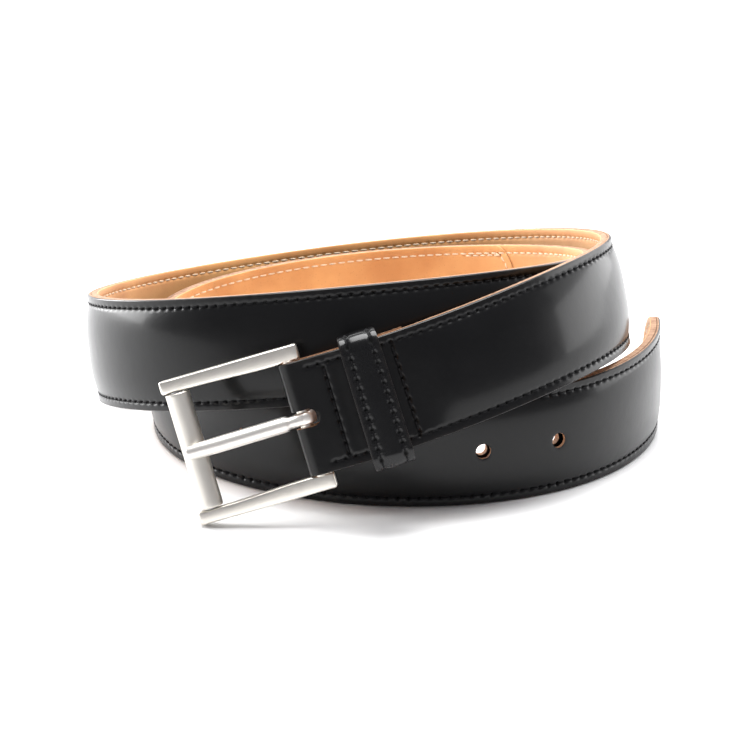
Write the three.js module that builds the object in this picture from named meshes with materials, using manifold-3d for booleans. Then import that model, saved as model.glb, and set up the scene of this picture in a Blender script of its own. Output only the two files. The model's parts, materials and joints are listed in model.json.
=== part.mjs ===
// A man's dress belt lying coiled on its edge, with a roller buckle.
// Millimetres, +Z up. The strap runs anticlockwise seen from above, from the
// heel bar of the buckle at the front left to the rounded tip at the right.
import * as THREE from 'three';
import { mergeVertices } from 'three/addons/utils/BufferGeometryUtils.js';
import Module from 'manifold-3d';

const wasm = await Module();
wasm.setup();

// Strap
const strapWidth = 35;
const faceThickness = 1.1;
const liningThickness = 2.2;
const glueLine = 0.2;
const crownHeight = 1.5;
const crownStart = 34;
const crownRamp = 14;
const tipLength = 15;
const tipCrownGap = 6;
const slice = 17;
const tipSlices = 5;
const shortestFacet = 0.3;

// Stitching
const stitchInset = 2.7;
const threadWidth = 0.6;
const threadThickness = 0.3;
const threadClearance = 0.12;
const seamStart = 2;
const bobbinSeamGap = 1.5;

// Punched holes, counted from the tip
const holeCount = 5;
const holePitch = 25.4;
const holeDiameter = 4.8;
const tipToHole = 100;

// The coil, as a base oval and the stations round it
const coilHalfWidth = 88;
const coilHalfDepth = 84;
const stationAngle = 45;
const firstStationAngle = -180;
const routeStart = 0.664;
const routeEnd = 19.29;

// One row for each station, 45 degrees apart: how far outside the base oval
// it lies, how far on along it, the height of the strap's middle in strap
// widths because the turns stack edge on edge, and the outward lean in degrees.
const stations = [
  [13, 14, -0.25, 2],
  [14.5, 9, 0.53, -5],
  [11, 3, 1.18, -13],
  [3, 0, 1.60, -21],
  [3, -2, 1.46, -11],
  [5, -1, 1.03, 2],
  [9, -2, 0.66, 12],
  [10, -2, 0.55, 15],
  [10, -2, 0.83, 5],
  [2, -2, 1.26, -5],
  [-4, -1, 1.57, -14],
  [-7, 1, 1.52, -12],
  [-4, 4, 1.23, -3],
  [-4, 7, 0.87, 6],
  [-2, 13, 0.63, 6],
  [-1, 16, 0.51, 2],
  [-19, 17, 0.50, 0],
  [-19, 15, 0.50, 0],
  [-6, 11, 0.50, 0],
  [7, 5, 0.50, 0],
  [18, 3, 0.50, 0],
  [34, -3, 0.50, 0],
  [44, -6, 0.50, 0],
];

// Lining lap, where the tip length of lining is laid over the buckle length
const lapAt = 735;
const lapLength = 18;
const lapRound = 9;
const liningStart = 6;
const chapeLining = 1.1;
const chapeSkive = 11;

// Chape: the end turned back round the heel bar
const seamBeforeKeeper = 6.5;
const seamPastKeeper = 3.8;
const turnbackPastSeam = 5.7;
const turnbackSettle = 3;
const chapeSeamEnd = 1.3;
const slotSideGap = 0.7;
const slotPastEye = 1.6;

// Keeper, counted from the heel bar
const keeperStart = 16.7;
const keeperWidth = 11.2;
const keeperLeather = 1.1;
const keeperLiner = 0.7;
const keeperGlue = 0.2;
const keeperClearance = 0.35;
const keeperRoom = 5.2;
const keeperAbove = 1.6;
const keeperBelow = 1.6;
const keeperSeamInset = 2.3;
const keeperButt = 0.8;

// Buckle
const heelBarRadius = 2;
const barClearance = 0.3;
const strapSideGap = 1;
const armWidth = 4.1;
const armThickness = 4.6;
const armReach = 35;
const armPastRoller = 4.5;
const armPastBar = 3.8;
const armBevel = 0.9;
const rollerRadius = 3.75;
const rollerPlay = 0.6;
const rollerSideGap = 0.4;
const rollerBarSeat = 2.2;
const rollerBarRadius = 1.75;
const prongWidth = 4.9;
const prongNeck = 3.7;
const prongNeckLength = 6.2;
const prongPastRoller = 2.4;
const prongEyeWall = 1.3;
const prongEyeSideGap = 0.1;
const prongRestGap = 0.3;

const sides = 20;
const halfWidth = strapWidth / 2;
const seamAcross = halfWidth - stitchInset;
const buckleInside = strapWidth + 2 * strapSideGap;
const slotWidth = prongWidth + 2 * slotSideGap;
const slotPastBar = heelBarRadius + barClearance + prongEyeWall + slotPastEye;

// Cross seams of the chape, one on each side of the keeper
const chapeSeams = {
  heel: keeperStart - seamBeforeKeeper,
  keeper: keeperStart + keeperWidth + seamPastKeeper,
};
const chapeSeamHalfLength = seamAcross - chapeSeamEnd;
const turnbackLength = chapeSeams.keeper + turnbackPastSeam;

// Depths through the strap: 0 is the glue line, positive is towards the face
const faceInner = glueLine / 2;
const faceOuter = faceInner + faceThickness;
const liningOuter = -glueLine / 2;
const liningInner = liningOuter - liningThickness;
const barDepth = faceInner - barClearance - heelBarRadius;
const foldInnerRadius = heelBarRadius + barClearance;
const foldOuterRadius = foldInnerRadius + faceThickness;
const keeperBackOuter = liningOuter - chapeLining - keeperClearance;
const keeperThickness = keeperLiner + keeperGlue + keeperLeather;
const keeperBackInner = keeperBackOuter - keeperThickness;
const foldDepth = barDepth - foldInnerRadius;
const turnbackDepth = Math.min(foldDepth, keeperBackInner - keeperClearance);

const black = { color: 0x14110f, roughness: 0.3, metalness: 0 };
const tan = { color: 0xcf8a50, roughness: 0.6, metalness: 0 };
const feltGrey = { color: 0x8b8378, roughness: 0.9, metalness: 0 };
const blackThread = { color: 0x0c0b0b, roughness: 0.6, metalness: 0 };
const naturalThread = { color: 0xe4c9a2, roughness: 0.7, metalness: 0 };
const satinNickel = { color: 0xc4beb4, roughness: 0.35, metalness: 1 };
const steel = { color: 0x9c9c9c, roughness: 0.4, metalness: 1 };

const belt = new THREE.Group();

function addPiece(name, geometry, look) {
  const mesh = new THREE.Mesh(geometry, new THREE.MeshStandardMaterial(look));
  mesh.name = name;
  belt.add(mesh);
}

// ---------------------------------------------------------------- route

const controls = stations.map(([outward, along, height, lean], index) => {
  const angle = THREE.MathUtils.degToRad(firstStationAngle + index * stationAngle);
  const x = (coilHalfWidth + outward) * Math.cos(angle) - along * Math.sin(angle);
  const y = (coilHalfDepth + outward) * Math.sin(angle) + along * Math.cos(angle);
  return new THREE.Vector4(x, y, height * strapWidth, THREE.MathUtils.degToRad(lean));
});

// Uniform cubic B-spline through the four controls round a station
function splineAt(place) {
  const index = Math.min(Math.floor(place), controls.length - 4);
  const t = place - index;
  const weights = [
    (1 - t) ** 3,
    3 * t ** 3 - 6 * t ** 2 + 4,
    -3 * t ** 3 + 3 * t ** 2 + 3 * t + 1,
    t ** 3,
  ];
  const sum = new THREE.Vector4(0, 0, 0, 0);
  weights.forEach((weight, k) => sum.addScaledVector(controls[index + k], weight / 6));
  return sum;
}

class StrapRoute extends THREE.Curve {
  getPoint(t, target = new THREE.Vector3()) {
    const { x, y, z } = splineAt(THREE.MathUtils.lerp(routeStart, routeEnd, t));
    return target.set(x, y, z);
  }
}

const route = new StrapRoute();
route.arcLengthDivisions = 2400;
const strapLength = route.getLength();

// Where the strap is at a distance from the heel bar: its middle, the way it
// runs, its own upward edge and the way its face looks
function frameAt(distance) {
  const t = route.getUtoTmapping(distance / strapLength);
  const run = route.getTangent(t);
  const level = new THREE.Vector3(0, 0, 1).addScaledVector(run, -run.z).normalize();
  const outward = new THREE.Vector3().crossVectors(run, level);
  const lean = splineAt(THREE.MathUtils.lerp(routeStart, routeEnd, t)).w;
  const up = level.multiplyScalar(Math.cos(lean)).addScaledVector(outward, Math.sin(lean));
  const face = new THREE.Vector3().crossVectors(run, up);
  return { distance, middle: route.getPoint(t), run, up, face };
}

// The strap is faceted at these distances, closer together round the tip
const tipStart = strapLength - tipLength;
const sliceCount = Math.round(tipStart / slice);
const frames = [];
for (let i = 0; i <= sliceCount; i += 1) {
  frames.push(frameAt((tipStart * i) / sliceCount));
}
for (let i = 1; i <= tipSlices; i += 1) {
  frames.push(frameAt(tipStart + tipLength * Math.sin((i / tipSlices) * Math.PI / 2)));
}

function pointOn(frame, across, depth) {
  return frame.middle.clone().addScaledVector(frame.up, across).addScaledVector(frame.face, depth);
}

// The facet of the strap at a distance, and how far along it that is
function facetAt(distance) {
  const found = frames.findIndex((frame) => frame.distance >= distance);
  const next = found < 0 ? frames.length - 1 : Math.max(1, found);
  const [a, b] = [frames[next - 1], frames[next]];
  return { a, b, share: (distance - a.distance) / (b.distance - a.distance) };
}

// A point on the faceted strap, or straight on from its first or last facet
function place(distance, across, depth) {
  const { a, b, share } = facetAt(distance);
  return pointOn(a, across, depth).lerp(pointOn(b, across, depth), share);
}

// The first frame is square to the strap's first facet, so that the fold runs
// true round the heel bar, and the buckle sits in the same straight frame
const [first, second] = frames;
first.run = second.middle.clone().sub(first.middle).normalize();
first.up.addScaledVector(first.run, -first.up.dot(first.run)).normalize();
first.face.crossVectors(first.run, first.up);
const barMiddle = pointOn(first, 0, barDepth);

// x runs from the bar towards the strap, y up along the bar, z out of the face
const buckleMatrix = new THREE.Matrix4()
  .makeBasis(first.run, first.up, first.face)
  .setPosition(barMiddle);

// ---------------------------------------------------------------- strips

// A closed strip from rows of [outer, inner] point pairs
function stripGeometry(rows) {
  const count = rows[0].length;
  const points = rows.flatMap((row) => row.flat());
  const outer = (row, j) => (row * count + j) * 2;
  const inner = (row, j) => (row * count + j) * 2 + 1;
  const index = [];
  const quad = (a, b, c, d) => index.push(a, b, c, a, c, d);
  for (let i = 0; i + 1 < rows.length; i += 1) {
    for (let j = 0; j + 1 < count; j += 1) {
      quad(outer(i, j), outer(i + 1, j), outer(i + 1, j + 1), outer(i, j + 1));
      quad(inner(i, j), inner(i, j + 1), inner(i + 1, j + 1), inner(i + 1, j));
    }
    quad(outer(i, 0), inner(i, 0), inner(i + 1, 0), outer(i + 1, 0));
    const top = count - 1;
    quad(outer(i, top), outer(i + 1, top), inner(i + 1, top), inner(i, top));
  }
  const last = rows.length - 1;
  for (let j = 0; j + 1 < count; j += 1) {
    quad(outer(0, j), outer(0, j + 1), inner(0, j + 1), inner(0, j));
    quad(outer(last, j), inner(last, j), inner(last, j + 1), outer(last, j + 1));
  }
  const geometry = new THREE.BufferGeometry().setFromPoints(points);
  geometry.setIndex(index);
  geometry.computeVertexNormals();
  return geometry;
}

function distancesBetween(start, end) {
  const inside = frames.map((frame) => frame.distance)
    .filter((distance) => distance > start + shortestFacet && distance < end - shortestFacet);
  return [start, ...inside, end];
}

// Share of the full width left as the tip rounds off
function tipShare(distance) {
  const past = Math.max(0, (distance - tipStart) / tipLength);
  return Math.sqrt(Math.max(0.02, 1 - past ** 2));
}

// How much of the crown has risen at a distance from the heel bar
function crownShare(distance) {
  const rise = THREE.MathUtils.smoothstep(distance, crownStart, crownStart + crownRamp);
  const end = tipStart - tipCrownGap;
  const fall = THREE.MathUtils.smoothstep(end - distance, 0, crownRamp);
  return rise * fall;
}

// Height of the crown on the faceted strap
const crownEdge = seamAcross - threadWidth;
function crownAt(distance, across) {
  const { a, b, share } = facetAt(distance);
  const risen = THREE.MathUtils.lerp(crownShare(a.distance), crownShare(b.distance), share);
  const side = Math.min(1, Math.abs(across) / crownEdge);
  return crownHeight * risen * (1 - side ** 2.4);
}

// ---------------------------------------------------------------- booleans

function toSolid(geometry) {
  const bare = geometry.clone();
  bare.deleteAttribute('normal');
  bare.deleteAttribute('uv');
  const merged = mergeVertices(bare, 1e-4);
  const mesh = new wasm.Mesh({
    numProp: 3,
    vertProperties: new Float32Array(merged.attributes.position.array),
    triVerts: new Uint32Array(merged.index.array),
  });
  return new wasm.Manifold(mesh);
}

function fromSolid(solid) {
  const mesh = solid.getMesh();
  const geometry = new THREE.BufferGeometry();
  geometry.setAttribute('position', new THREE.BufferAttribute(mesh.vertProperties, 3));
  geometry.setIndex(new THREE.BufferAttribute(mesh.triVerts, 1));
  geometry.computeVertexNormals();
  return geometry;
}

function cut(geometry, cutters) {
  const solid = cutters.reduce((left, cutter) => left.subtract(toSolid(cutter)), toSolid(geometry));
  return fromSolid(solid);
}

function join(geometries) {
  const [blank, ...rest] = geometries.map(toSolid);
  return fromSolid(rest.reduce((whole, solid) => whole.add(solid), blank));
}

// ---------------------------------------------------------------- strap

const crownShoulder = 0.5;
const crownFoot = crownEdge / halfWidth;
const faceShares = [-1, -crownFoot, -crownShoulder, 0, crownShoulder, crownFoot, 1];

function faceRow(distance) {
  return faceShares.map((share) => {
    const across = share * halfWidth * tipShare(distance);
    const rise = crownAt(distance, across);
    return [place(distance, across, faceOuter + rise), place(distance, across, faceInner + rise)];
  });
}

// The turned-back end, from its free edge to the bar, then round the bar
function turnbackDepthAt(distance) {
  const share = THREE.MathUtils.smoothstep(distance, foldInnerRadius, keeperStart - turnbackSettle);
  return THREE.MathUtils.lerp(foldDepth, turnbackDepth, share);
}

function turnbackRow(distance) {
  const inner = turnbackDepthAt(distance);
  return faceShares.map((share) => {
    const across = share * halfWidth;
    return [place(distance, across, inner - faceThickness), place(distance, across, inner)];
  });
}

function foldRow(angle) {
  return faceShares.map((share) => [foldOuterRadius, foldInnerRadius].map((radius) => (
    place(-radius * Math.cos(angle), share * halfWidth, barDepth + radius * Math.sin(angle))
  )));
}

const turnbackRows = distancesBetween(0, turnbackLength).slice(1).reverse().map(turnbackRow);
const foldSteps = 8;
const foldRows = [];
for (let i = 0; i <= foldSteps; i += 1) {
  foldRows.push(foldRow(-Math.PI / 2 + (Math.PI * i) / foldSteps));
}
const faceRows = distancesBetween(0, strapLength).slice(1).map(faceRow);

const holePlaces = [];
for (let i = 0; i < holeCount; i += 1) {
  holePlaces.push(strapLength - tipToHole - i * holePitch);
}

// A cutter that stands through the strap, from an outline in its own plane
function throughCutter(shape, distance, lowest, highest) {
  const geometry = new THREE.ExtrudeGeometry(shape, {
    depth: highest - lowest,
    bevelEnabled: false,
    curveSegments: 8,
  });
  const centre = place(distance, 0, 0);
  const run = place(distance + 1, 0, 0).sub(place(distance - 1, 0, 0)).normalize();
  const up = place(distance, 1, 0).sub(centre).normalize();
  const face = new THREE.Vector3().crossVectors(run, up).normalize();
  up.crossVectors(face, run);
  const matrix = new THREE.Matrix4().makeBasis(run, up, face).setPosition(centre);
  return geometry.translate(0, 0, lowest).applyMatrix4(matrix);
}

function holeCutters() {
  const circle = new THREE.Shape().absarc(0, 0, holeDiameter / 2, 0, Math.PI * 2);
  const through = faceOuter + crownHeight + liningThickness;
  return holePlaces.map((distance) => throughCutter(circle, distance, -through, through));
}

// The prong slot runs round the fold, from the front layer to the turned-back one
function slotCutter() {
  const half = slotWidth / 2;
  const outline = new THREE.Shape();
  outline.moveTo(-2 * foldOuterRadius, -half);
  outline.lineTo(slotPastBar - half, -half);
  outline.absarc(slotPastBar - half, 0, half, -Math.PI / 2, Math.PI / 2);
  outline.lineTo(-2 * foldOuterRadius, half);
  const geometry = new THREE.ExtrudeGeometry(outline, {
    depth: 4 * foldOuterRadius,
    bevelEnabled: false,
    curveSegments: 6,
  });
  return geometry.translate(0, 0, -2 * foldOuterRadius).applyMatrix4(buckleMatrix);
}

const strapFace = stripGeometry([...turnbackRows, ...foldRows, ...faceRows]);
addPiece('outer_strap', cut(strapFace, [slotCutter(), ...holeCutters()]), black);

// Soft filler that crowns the face between the two seams
const fillerEdge = 0.8 * crownFoot;
const fillerGap = 0.3;
const fillerShares = [-fillerEdge, -crownShoulder, 0, crownShoulder, fillerEdge];
const fillerStart = crownStart + crownRamp;
const fillerEnd = tipStart - tipCrownGap - crownRamp;
const fillerRows = distancesBetween(fillerStart, fillerEnd).map((distance) => (
  fillerShares.map((share) => {
    const across = share * halfWidth;
    const top = faceInner + crownAt(distance, across) - fillerGap;
    return [place(distance, across, top), place(distance, across, 0)];
  })
));
addPiece('crown_filler', cut(stripGeometry(fillerRows), holeCutters()), feltGrey);

// ---------------------------------------------------------------- lining

const halfLining = (liningOuter + liningInner) / 2;

function liningRow(distance, share, outerDepth, innerDepth) {
  return faceShares.map((side) => {
    const across = side * halfWidth * share;
    return [place(distance, across, outerDepth), place(distance, across, innerDepth)];
  });
}

// The buckle length is skived thin in the chape and under the lap
function buckleLiningRow(distance) {
  const skived = turnbackLength + 1;
  const full = THREE.MathUtils.smoothstep(distance, skived, skived + chapeSkive);
  const thickness = THREE.MathUtils.lerp(chapeLining, liningThickness, full);
  return liningRow(distance, 1, liningOuter, liningOuter - thickness);
}

const lapStart = lapAt - lapLength;
const underLap = halfLining + glueLine / 2;
const buckleLiningRows = [
  ...distancesBetween(liningStart, lapStart - 1).map(buckleLiningRow),
  ...distancesBetween(lapStart - 0.5, lapAt - 0.5).map((distance) => (
    liningRow(distance, 1, liningOuter, underLap)
  )),
];
addPiece('lining_buckle_length', stripGeometry(buckleLiningRows), tan);

// The tip length starts with a rounded end laid on the skived part
function lapRoundShare(distance) {
  const left = Math.max(0, 1 - (distance - lapStart) / lapRound);
  return Math.sqrt(Math.max(0.05, 1 - left ** 2));
}

const overLap = halfLining - glueLine / 2;
const lapSteps = [0.3, 1.6, 4.2].map((step) => lapStart + step);
const tipLiningRows = [
  ...[...lapSteps, ...distancesBetween(lapStart + lapRound, lapAt)].map((distance) => (
    liningRow(distance, lapRoundShare(distance), overLap, liningInner)
  )),
  ...distancesBetween(lapAt + 0.5, strapLength).map((distance) => (
    liningRow(distance, tipShare(distance), liningOuter, liningInner)
  )),
];
addPiece('lining_tip_length', cut(stripGeometry(tipLiningRows), holeCutters()), tan);

// ---------------------------------------------------------------- seams

// Path of the edge seam: out along the top edge, round the tip and back
function seamPath(start) {
  const out = distancesBetween(start, tipStart);
  const round = [];
  const turnSteps = 8;
  const reach = tipLength - stitchInset;
  for (let i = 1; i < turnSteps; i += 1) {
    const angle = Math.PI / 2 - (Math.PI * i) / turnSteps;
    round.push([tipStart + reach * Math.cos(angle), seamAcross * Math.sin(angle)]);
  }
  const upper = out.map((distance) => [distance, seamAcross]);
  const lower = out.map((distance) => [distance, -seamAcross]).reverse();
  return [...upper, ...round, ...lower];
}

// A flat thread laid along a path of [distance, across] points, on the side of the
// strap that the depths at its middle give; on the face it rises with the crown
function threadGeometry(path, outerDepth, onFace = false) {
  const rows = path.map(([distance, across], i) => {
    const before = path[Math.max(0, i - 1)];
    const after = path[Math.min(path.length - 1, i + 1)];
    const direction = new THREE.Vector2(after[0] - before[0], after[1] - before[1]).normalize();
    const side = new THREE.Vector2(-direction.y, direction.x).multiplyScalar(threadWidth / 2);
    const rise = onFace ? crownAt(distance, across) : 0;
    return [-1, 1].map((sign) => [outerDepth, outerDepth - threadThickness].map((depth) => (
      place(distance + sign * side.x, across + sign * side.y, depth + rise)
    )));
  });
  return stripGeometry(rows);
}

const onFace = faceOuter + threadClearance + threadThickness;
const onLining = liningInner - threadClearance;
addPiece('edge_needle_thread', threadGeometry(seamPath(seamStart), onFace), blackThread);
addPiece(
  'edge_bobbin_thread',
  threadGeometry(seamPath(turnbackLength + bobbinSeamGap), onLining),
  naturalThread,
);

// Curved seam that follows the rounded end of the lap
const lapSeamInset = 2.5;
const lapSeam = [-0.62, -0.35, 0, 0.35, 0.62].map((share) => {
  const round = lapRound * (1 - Math.sqrt(1 - share ** 2));
  return [lapStart + lapSeamInset + round, share * halfWidth];
});
addPiece('lap_thread', threadGeometry(lapSeam, onLining), naturalThread);

// Cross seams that hold the turned-back end
for (const [side, distance] of Object.entries(chapeSeams)) {
  const path = [-1, -0.5, 0, 0.5, 1].map((share) => [distance, share * chapeSeamHalfLength]);
  const onTurnback = turnbackDepthAt(distance) - faceThickness - threadClearance;
  addPiece(`chape_needle_thread_${side}`, threadGeometry(path, onFace, true), blackThread);
  addPiece(`chape_bobbin_thread_${side}`, threadGeometry(path, onTurnback), blackThread);
}

// ---------------------------------------------------------------- keeper

const keeperEnd = keeperStart + keeperWidth;
const keeperFront = faceOuter + keeperRoom;

// Inner line of the keeper's loop, as [across, depth] from one butted end to the other
const keeperHalf = [
  [keeperButt / 2, keeperBackOuter, 0],
  [halfWidth * 0.5, keeperBackOuter, 0],
  [halfWidth - 2, keeperBackOuter, 0],
  [halfWidth, keeperBackOuter, 0.25],
  [halfWidth, keeperBackOuter + 1, 0.85],
  [halfWidth, faceOuter + 1, 1],
  [halfWidth, keeperFront - 2, 0.7],
  [halfWidth - 1, keeperFront - 0.6, 0.3],
  [halfWidth - 5, keeperFront - 0.1, 0],
];
const keeperTop = keeperHalf.map(([across, depth, share]) => (
  new THREE.Vector3(across + share * keeperAbove, depth, 0)
));
const keeperBottom = keeperHalf.map(([across, depth, share]) => (
  new THREE.Vector3(-across - share * keeperBelow, depth, 0)
));
const keeperLine = new THREE.CatmullRomCurve3(
  [...keeperTop, new THREE.Vector3(0, keeperFront, 0), ...keeperBottom.reverse()],
  false,
  'centripetal',
);

const keeperSteps = 30;
function keeperBand(from, to, start, end, first = 0, last = keeperSteps) {
  const rows = [];
  for (let i = first; i <= last; i += 1) {
    const point = keeperLine.getPointAt(i / keeperSteps);
    const ahead = keeperLine.getTangentAt(i / keeperSteps);
    const away = new THREE.Vector3(ahead.y, -ahead.x, 0);
    rows.push([start, end].map((distance) => [to, from].map((offset) => {
      const { x, y } = point.clone().addScaledVector(away, offset);
      return place(distance, x, y);
    })));
  }
  return stripGeometry(rows);
}

addPiece('keeper_lining', keeperBand(0, keeperLiner, keeperStart, keeperEnd), tan);
addPiece(
  'keeper_leather',
  keeperBand(keeperLiner + keeperGlue, keeperThickness, keeperStart, keeperEnd),
  black,
);

// The keeper's two seams show on its front, from fold to fold
const keeperSeams = {
  left: keeperStart + keeperSeamInset,
  right: keeperEnd - keeperSeamInset,
};
for (const [side, distance] of Object.entries(keeperSeams)) {
  const from = keeperThickness + threadClearance;
  const thread = keeperBand(
    from,
    from + threadThickness,
    distance - threadWidth / 2,
    distance + threadWidth / 2,
    Math.round(keeperSteps * 0.24),
    Math.round(keeperSteps * 0.76),
  );
  addPiece(`keeper_thread_${side}`, thread, blackThread);
}

// ---------------------------------------------------------------- buckle

// Everything below is drawn round the heel bar, then set on the strap's fold
function addBucklePiece(name, geometry, look) {
  addPiece(name, geometry.applyMatrix4(buckleMatrix), look);
}

function rod(radius, length, x = 0, y = 0) {
  return new THREE.CylinderGeometry(radius, radius, length, sides).translate(x, y, 0);
}

// A tube on the y axis, with its ends chamfered
function tube(innerRadius, outerRadius, length, chamfer) {
  const half = length / 2;
  const profile = [
    [innerRadius, -half],
    [outerRadius - chamfer, -half],
    [outerRadius, chamfer - half],
    [outerRadius, half - chamfer],
    [outerRadius - chamfer, half],
    [innerRadius, half],
    [innerRadius, -half],
  ];
  return new THREE.LatheGeometry(profile.map(([x, y]) => new THREE.Vector2(x, y)), sides);
}

// A turned hole has to clear a round bar even at the middle of its flats
function holeRadiusRound(radius) {
  return (radius + barClearance) / Math.cos(Math.PI / sides);
}

function armGeometry(side) {
  const left = -armReach - armPastRoller + armBevel;
  const right = armPastBar - armBevel;
  const half = armThickness / 2 - armBevel;
  const corner = half * 0.8;
  const outline = new THREE.Shape();
  outline.moveTo(left + corner, -half);
  outline.lineTo(right - corner, -half);
  outline.absarc(right - corner, corner - half, corner, -Math.PI / 2, 0);
  outline.absarc(right - corner, half - corner, corner, 0, Math.PI / 2);
  outline.lineTo(left + corner, half);
  outline.absarc(left + corner, half - corner, corner, Math.PI / 2, Math.PI);
  outline.absarc(left + corner, corner - half, corner, Math.PI, Math.PI * 1.5);
  const geometry = new THREE.ExtrudeGeometry(outline, {
    depth: armWidth - 2 * armBevel,
    bevelThickness: armBevel,
    bevelSize: armBevel,
    bevelSegments: 1,
    curveSegments: 3,
  });
  geometry.translate(0, 0, -(armWidth / 2 - armBevel)).rotateX(Math.PI / 2);
  return geometry.translate(0, side * (buckleInside + armWidth) / 2, 0);
}

const barSeats = [-1, 1].map((side) => {
  const depth = rollerBarSeat + barClearance;
  const middle = side * (buckleInside + depth - 1) / 2;
  return rod(holeRadiusRound(rollerBarRadius), depth + 1, -armReach, middle);
});
const frameBlank = join([armGeometry(-1), armGeometry(1), rod(heelBarRadius, buckleInside + armWidth)]);
addBucklePiece('buckle_frame', cut(frameBlank, barSeats), satinNickel);
addBucklePiece('roller_bar', rod(rollerBarRadius, buckleInside + 2 * rollerBarSeat, -armReach), steel);

const rollerBore = rollerBarRadius + rollerPlay;
const rollerTube = tube(rollerBore, rollerRadius, buckleInside - 2 * rollerSideGap, 0.4);
addBucklePiece('roller', rollerTube.translate(-armReach, 0, 0), satinNickel);

// The prong: an eye round the heel bar and a round shaft that rests on the roller
const eyeBore = holeRadiusRound(heelBarRadius);
const eye = tube(eyeBore, eyeBore + prongEyeWall, prongWidth - 2 * prongEyeSideGap, 0.3);
const shaftLength = armReach + prongPastRoller;
const prongHalf = prongWidth / 2;
const neckHalf = prongNeck / 2;
const tipHalf = prongHalf * 0.72;
const shaftProfile = [
  [0, 0],
  [neckHalf, 0],
  [neckHalf, prongNeckLength],
  [prongHalf - 0.15, prongNeckLength + 0.4],
  [prongHalf, prongNeckLength + 1.2],
  [prongHalf, shaftLength * 0.72],
  [prongHalf * 0.9, shaftLength * 0.86],
  [tipHalf, shaftLength - tipHalf],
  [tipHalf * 0.75, shaftLength - tipHalf * 0.4],
  [tipHalf * 0.35, shaftLength - tipHalf * 0.05],
  [0, shaftLength],
];
const shaftStartHeight = eyeBore + prongEyeWall - neckHalf;
const shaftRestHeight = rollerRadius + prongRestGap + prongHalf * 0.9;
const shaftSlope = Math.atan2(shaftRestHeight - shaftStartHeight, armReach);
const shaft = new THREE.LatheGeometry(shaftProfile.map(([x, y]) => new THREE.Vector2(x, y)), 16);
shaft.rotateZ(Math.PI / 2).rotateY(shaftSlope).translate(0, 0, shaftStartHeight);
const prongBlank = join([eye, shaft]);
const eyeHole = rod(eyeBore, prongWidth + 2);
addBucklePiece('prong', cut(prongBlank, [eyeHole]), satinNickel);

// ---------------------------------------------------------------- origin

// The origin is under the middle of the belt, on the surface it stands on
const box = new THREE.Box3().setFromObject(belt);
const centre = box.getCenter(new THREE.Vector3());
belt.position.set(-centre.x, -centre.y, -box.min.z);

// The two hinge lines, in the belt's own frame
belt.userData.hinges = {
  heelBar: { at: barMiddle.clone().add(belt.position), along: first.up },
  roller: {
    at: new THREE.Vector3(-armReach, 0, 0).applyMatrix4(buckleMatrix).add(belt.position),
    along: first.up,
  },
};

export default belt;
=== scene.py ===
"""A man's dress belt, coiled on its edge: padded black calf, natural lining, roller buckle.

The belt's own sizes are in millimetres, as a belt maker gives them, and every mesh is
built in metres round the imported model.
"""

import json
import logging
import math
from collections.abc import Callable, Sequence
from dataclasses import dataclass, field
from enum import Enum, IntEnum

import bpy
import numpy as np
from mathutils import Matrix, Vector

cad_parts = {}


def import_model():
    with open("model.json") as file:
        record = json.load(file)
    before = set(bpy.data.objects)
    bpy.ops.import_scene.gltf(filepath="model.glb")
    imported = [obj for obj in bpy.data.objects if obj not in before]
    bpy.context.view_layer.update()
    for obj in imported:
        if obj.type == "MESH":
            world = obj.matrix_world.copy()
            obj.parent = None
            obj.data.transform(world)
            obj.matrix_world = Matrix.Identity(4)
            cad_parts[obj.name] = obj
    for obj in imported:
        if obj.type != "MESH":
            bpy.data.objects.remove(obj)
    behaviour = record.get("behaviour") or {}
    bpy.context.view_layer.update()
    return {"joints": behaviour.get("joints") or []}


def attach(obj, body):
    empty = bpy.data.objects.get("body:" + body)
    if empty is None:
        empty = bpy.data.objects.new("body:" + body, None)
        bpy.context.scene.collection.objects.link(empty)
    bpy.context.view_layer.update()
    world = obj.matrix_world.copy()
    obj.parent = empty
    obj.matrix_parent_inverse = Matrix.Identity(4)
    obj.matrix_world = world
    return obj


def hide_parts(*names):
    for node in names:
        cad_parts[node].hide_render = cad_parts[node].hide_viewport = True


MM = 0.001
LOG = logging.getLogger("belt")

Surface = Callable[[np.ndarray, np.ndarray], tuple[np.ndarray, np.ndarray]]
Depth = Callable[[np.ndarray, np.ndarray], np.ndarray]
Along = Callable[[np.ndarray], np.ndarray]


def smoothstep(value: np.ndarray, low: float, high: float) -> np.ndarray:
    """A smooth 0 to 1 ramp of value from low to high."""
    share = np.clip((np.asarray(value, float) - low) / (high - low), 0, 1)
    return share * share * (3 - 2 * share)


def unit(vectors: np.ndarray) -> np.ndarray:
    """The vectors, each made one long."""
    return vectors / np.linalg.norm(vectors, axis=-1, keepdims=True)


# ------------------------------------------------------------------ shader maths


class Signal:
    """A shader socket's output, so that maths on it reads as an expression."""

    def __init__(self, board: "Board", socket: bpy.types.NodeSocket) -> None:
        """Wraps socket, which belongs to board's node tree."""
        self.board = board
        self.socket = socket

    def _math(self, operation: str, first: "Signal | float", second: "Signal | float") -> "Signal":
        """A Math node of two values."""
        node = self.board.add("ShaderNodeMath", {"operation": operation}, {0: first, 1: second})
        return Signal(self.board, node.outputs[0])

    def __add__(self, other: "Signal | float") -> "Signal":
        """self + other."""
        return self._math("ADD", self, other)

    def __radd__(self, other: float) -> "Signal":
        """other + self."""
        return self._math("ADD", other, self)

    def __sub__(self, other: "Signal | float") -> "Signal":
        """self - other."""
        return self._math("SUBTRACT", self, other)

    def __rsub__(self, other: float) -> "Signal":
        """other - self."""
        return self._math("SUBTRACT", other, self)

    def __mul__(self, other: "Signal | float") -> "Signal":
        """self * other."""
        return self._math("MULTIPLY", self, other)

    def __rmul__(self, other: float) -> "Signal":
        """other * self."""
        return self._math("MULTIPLY", other, self)


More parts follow.
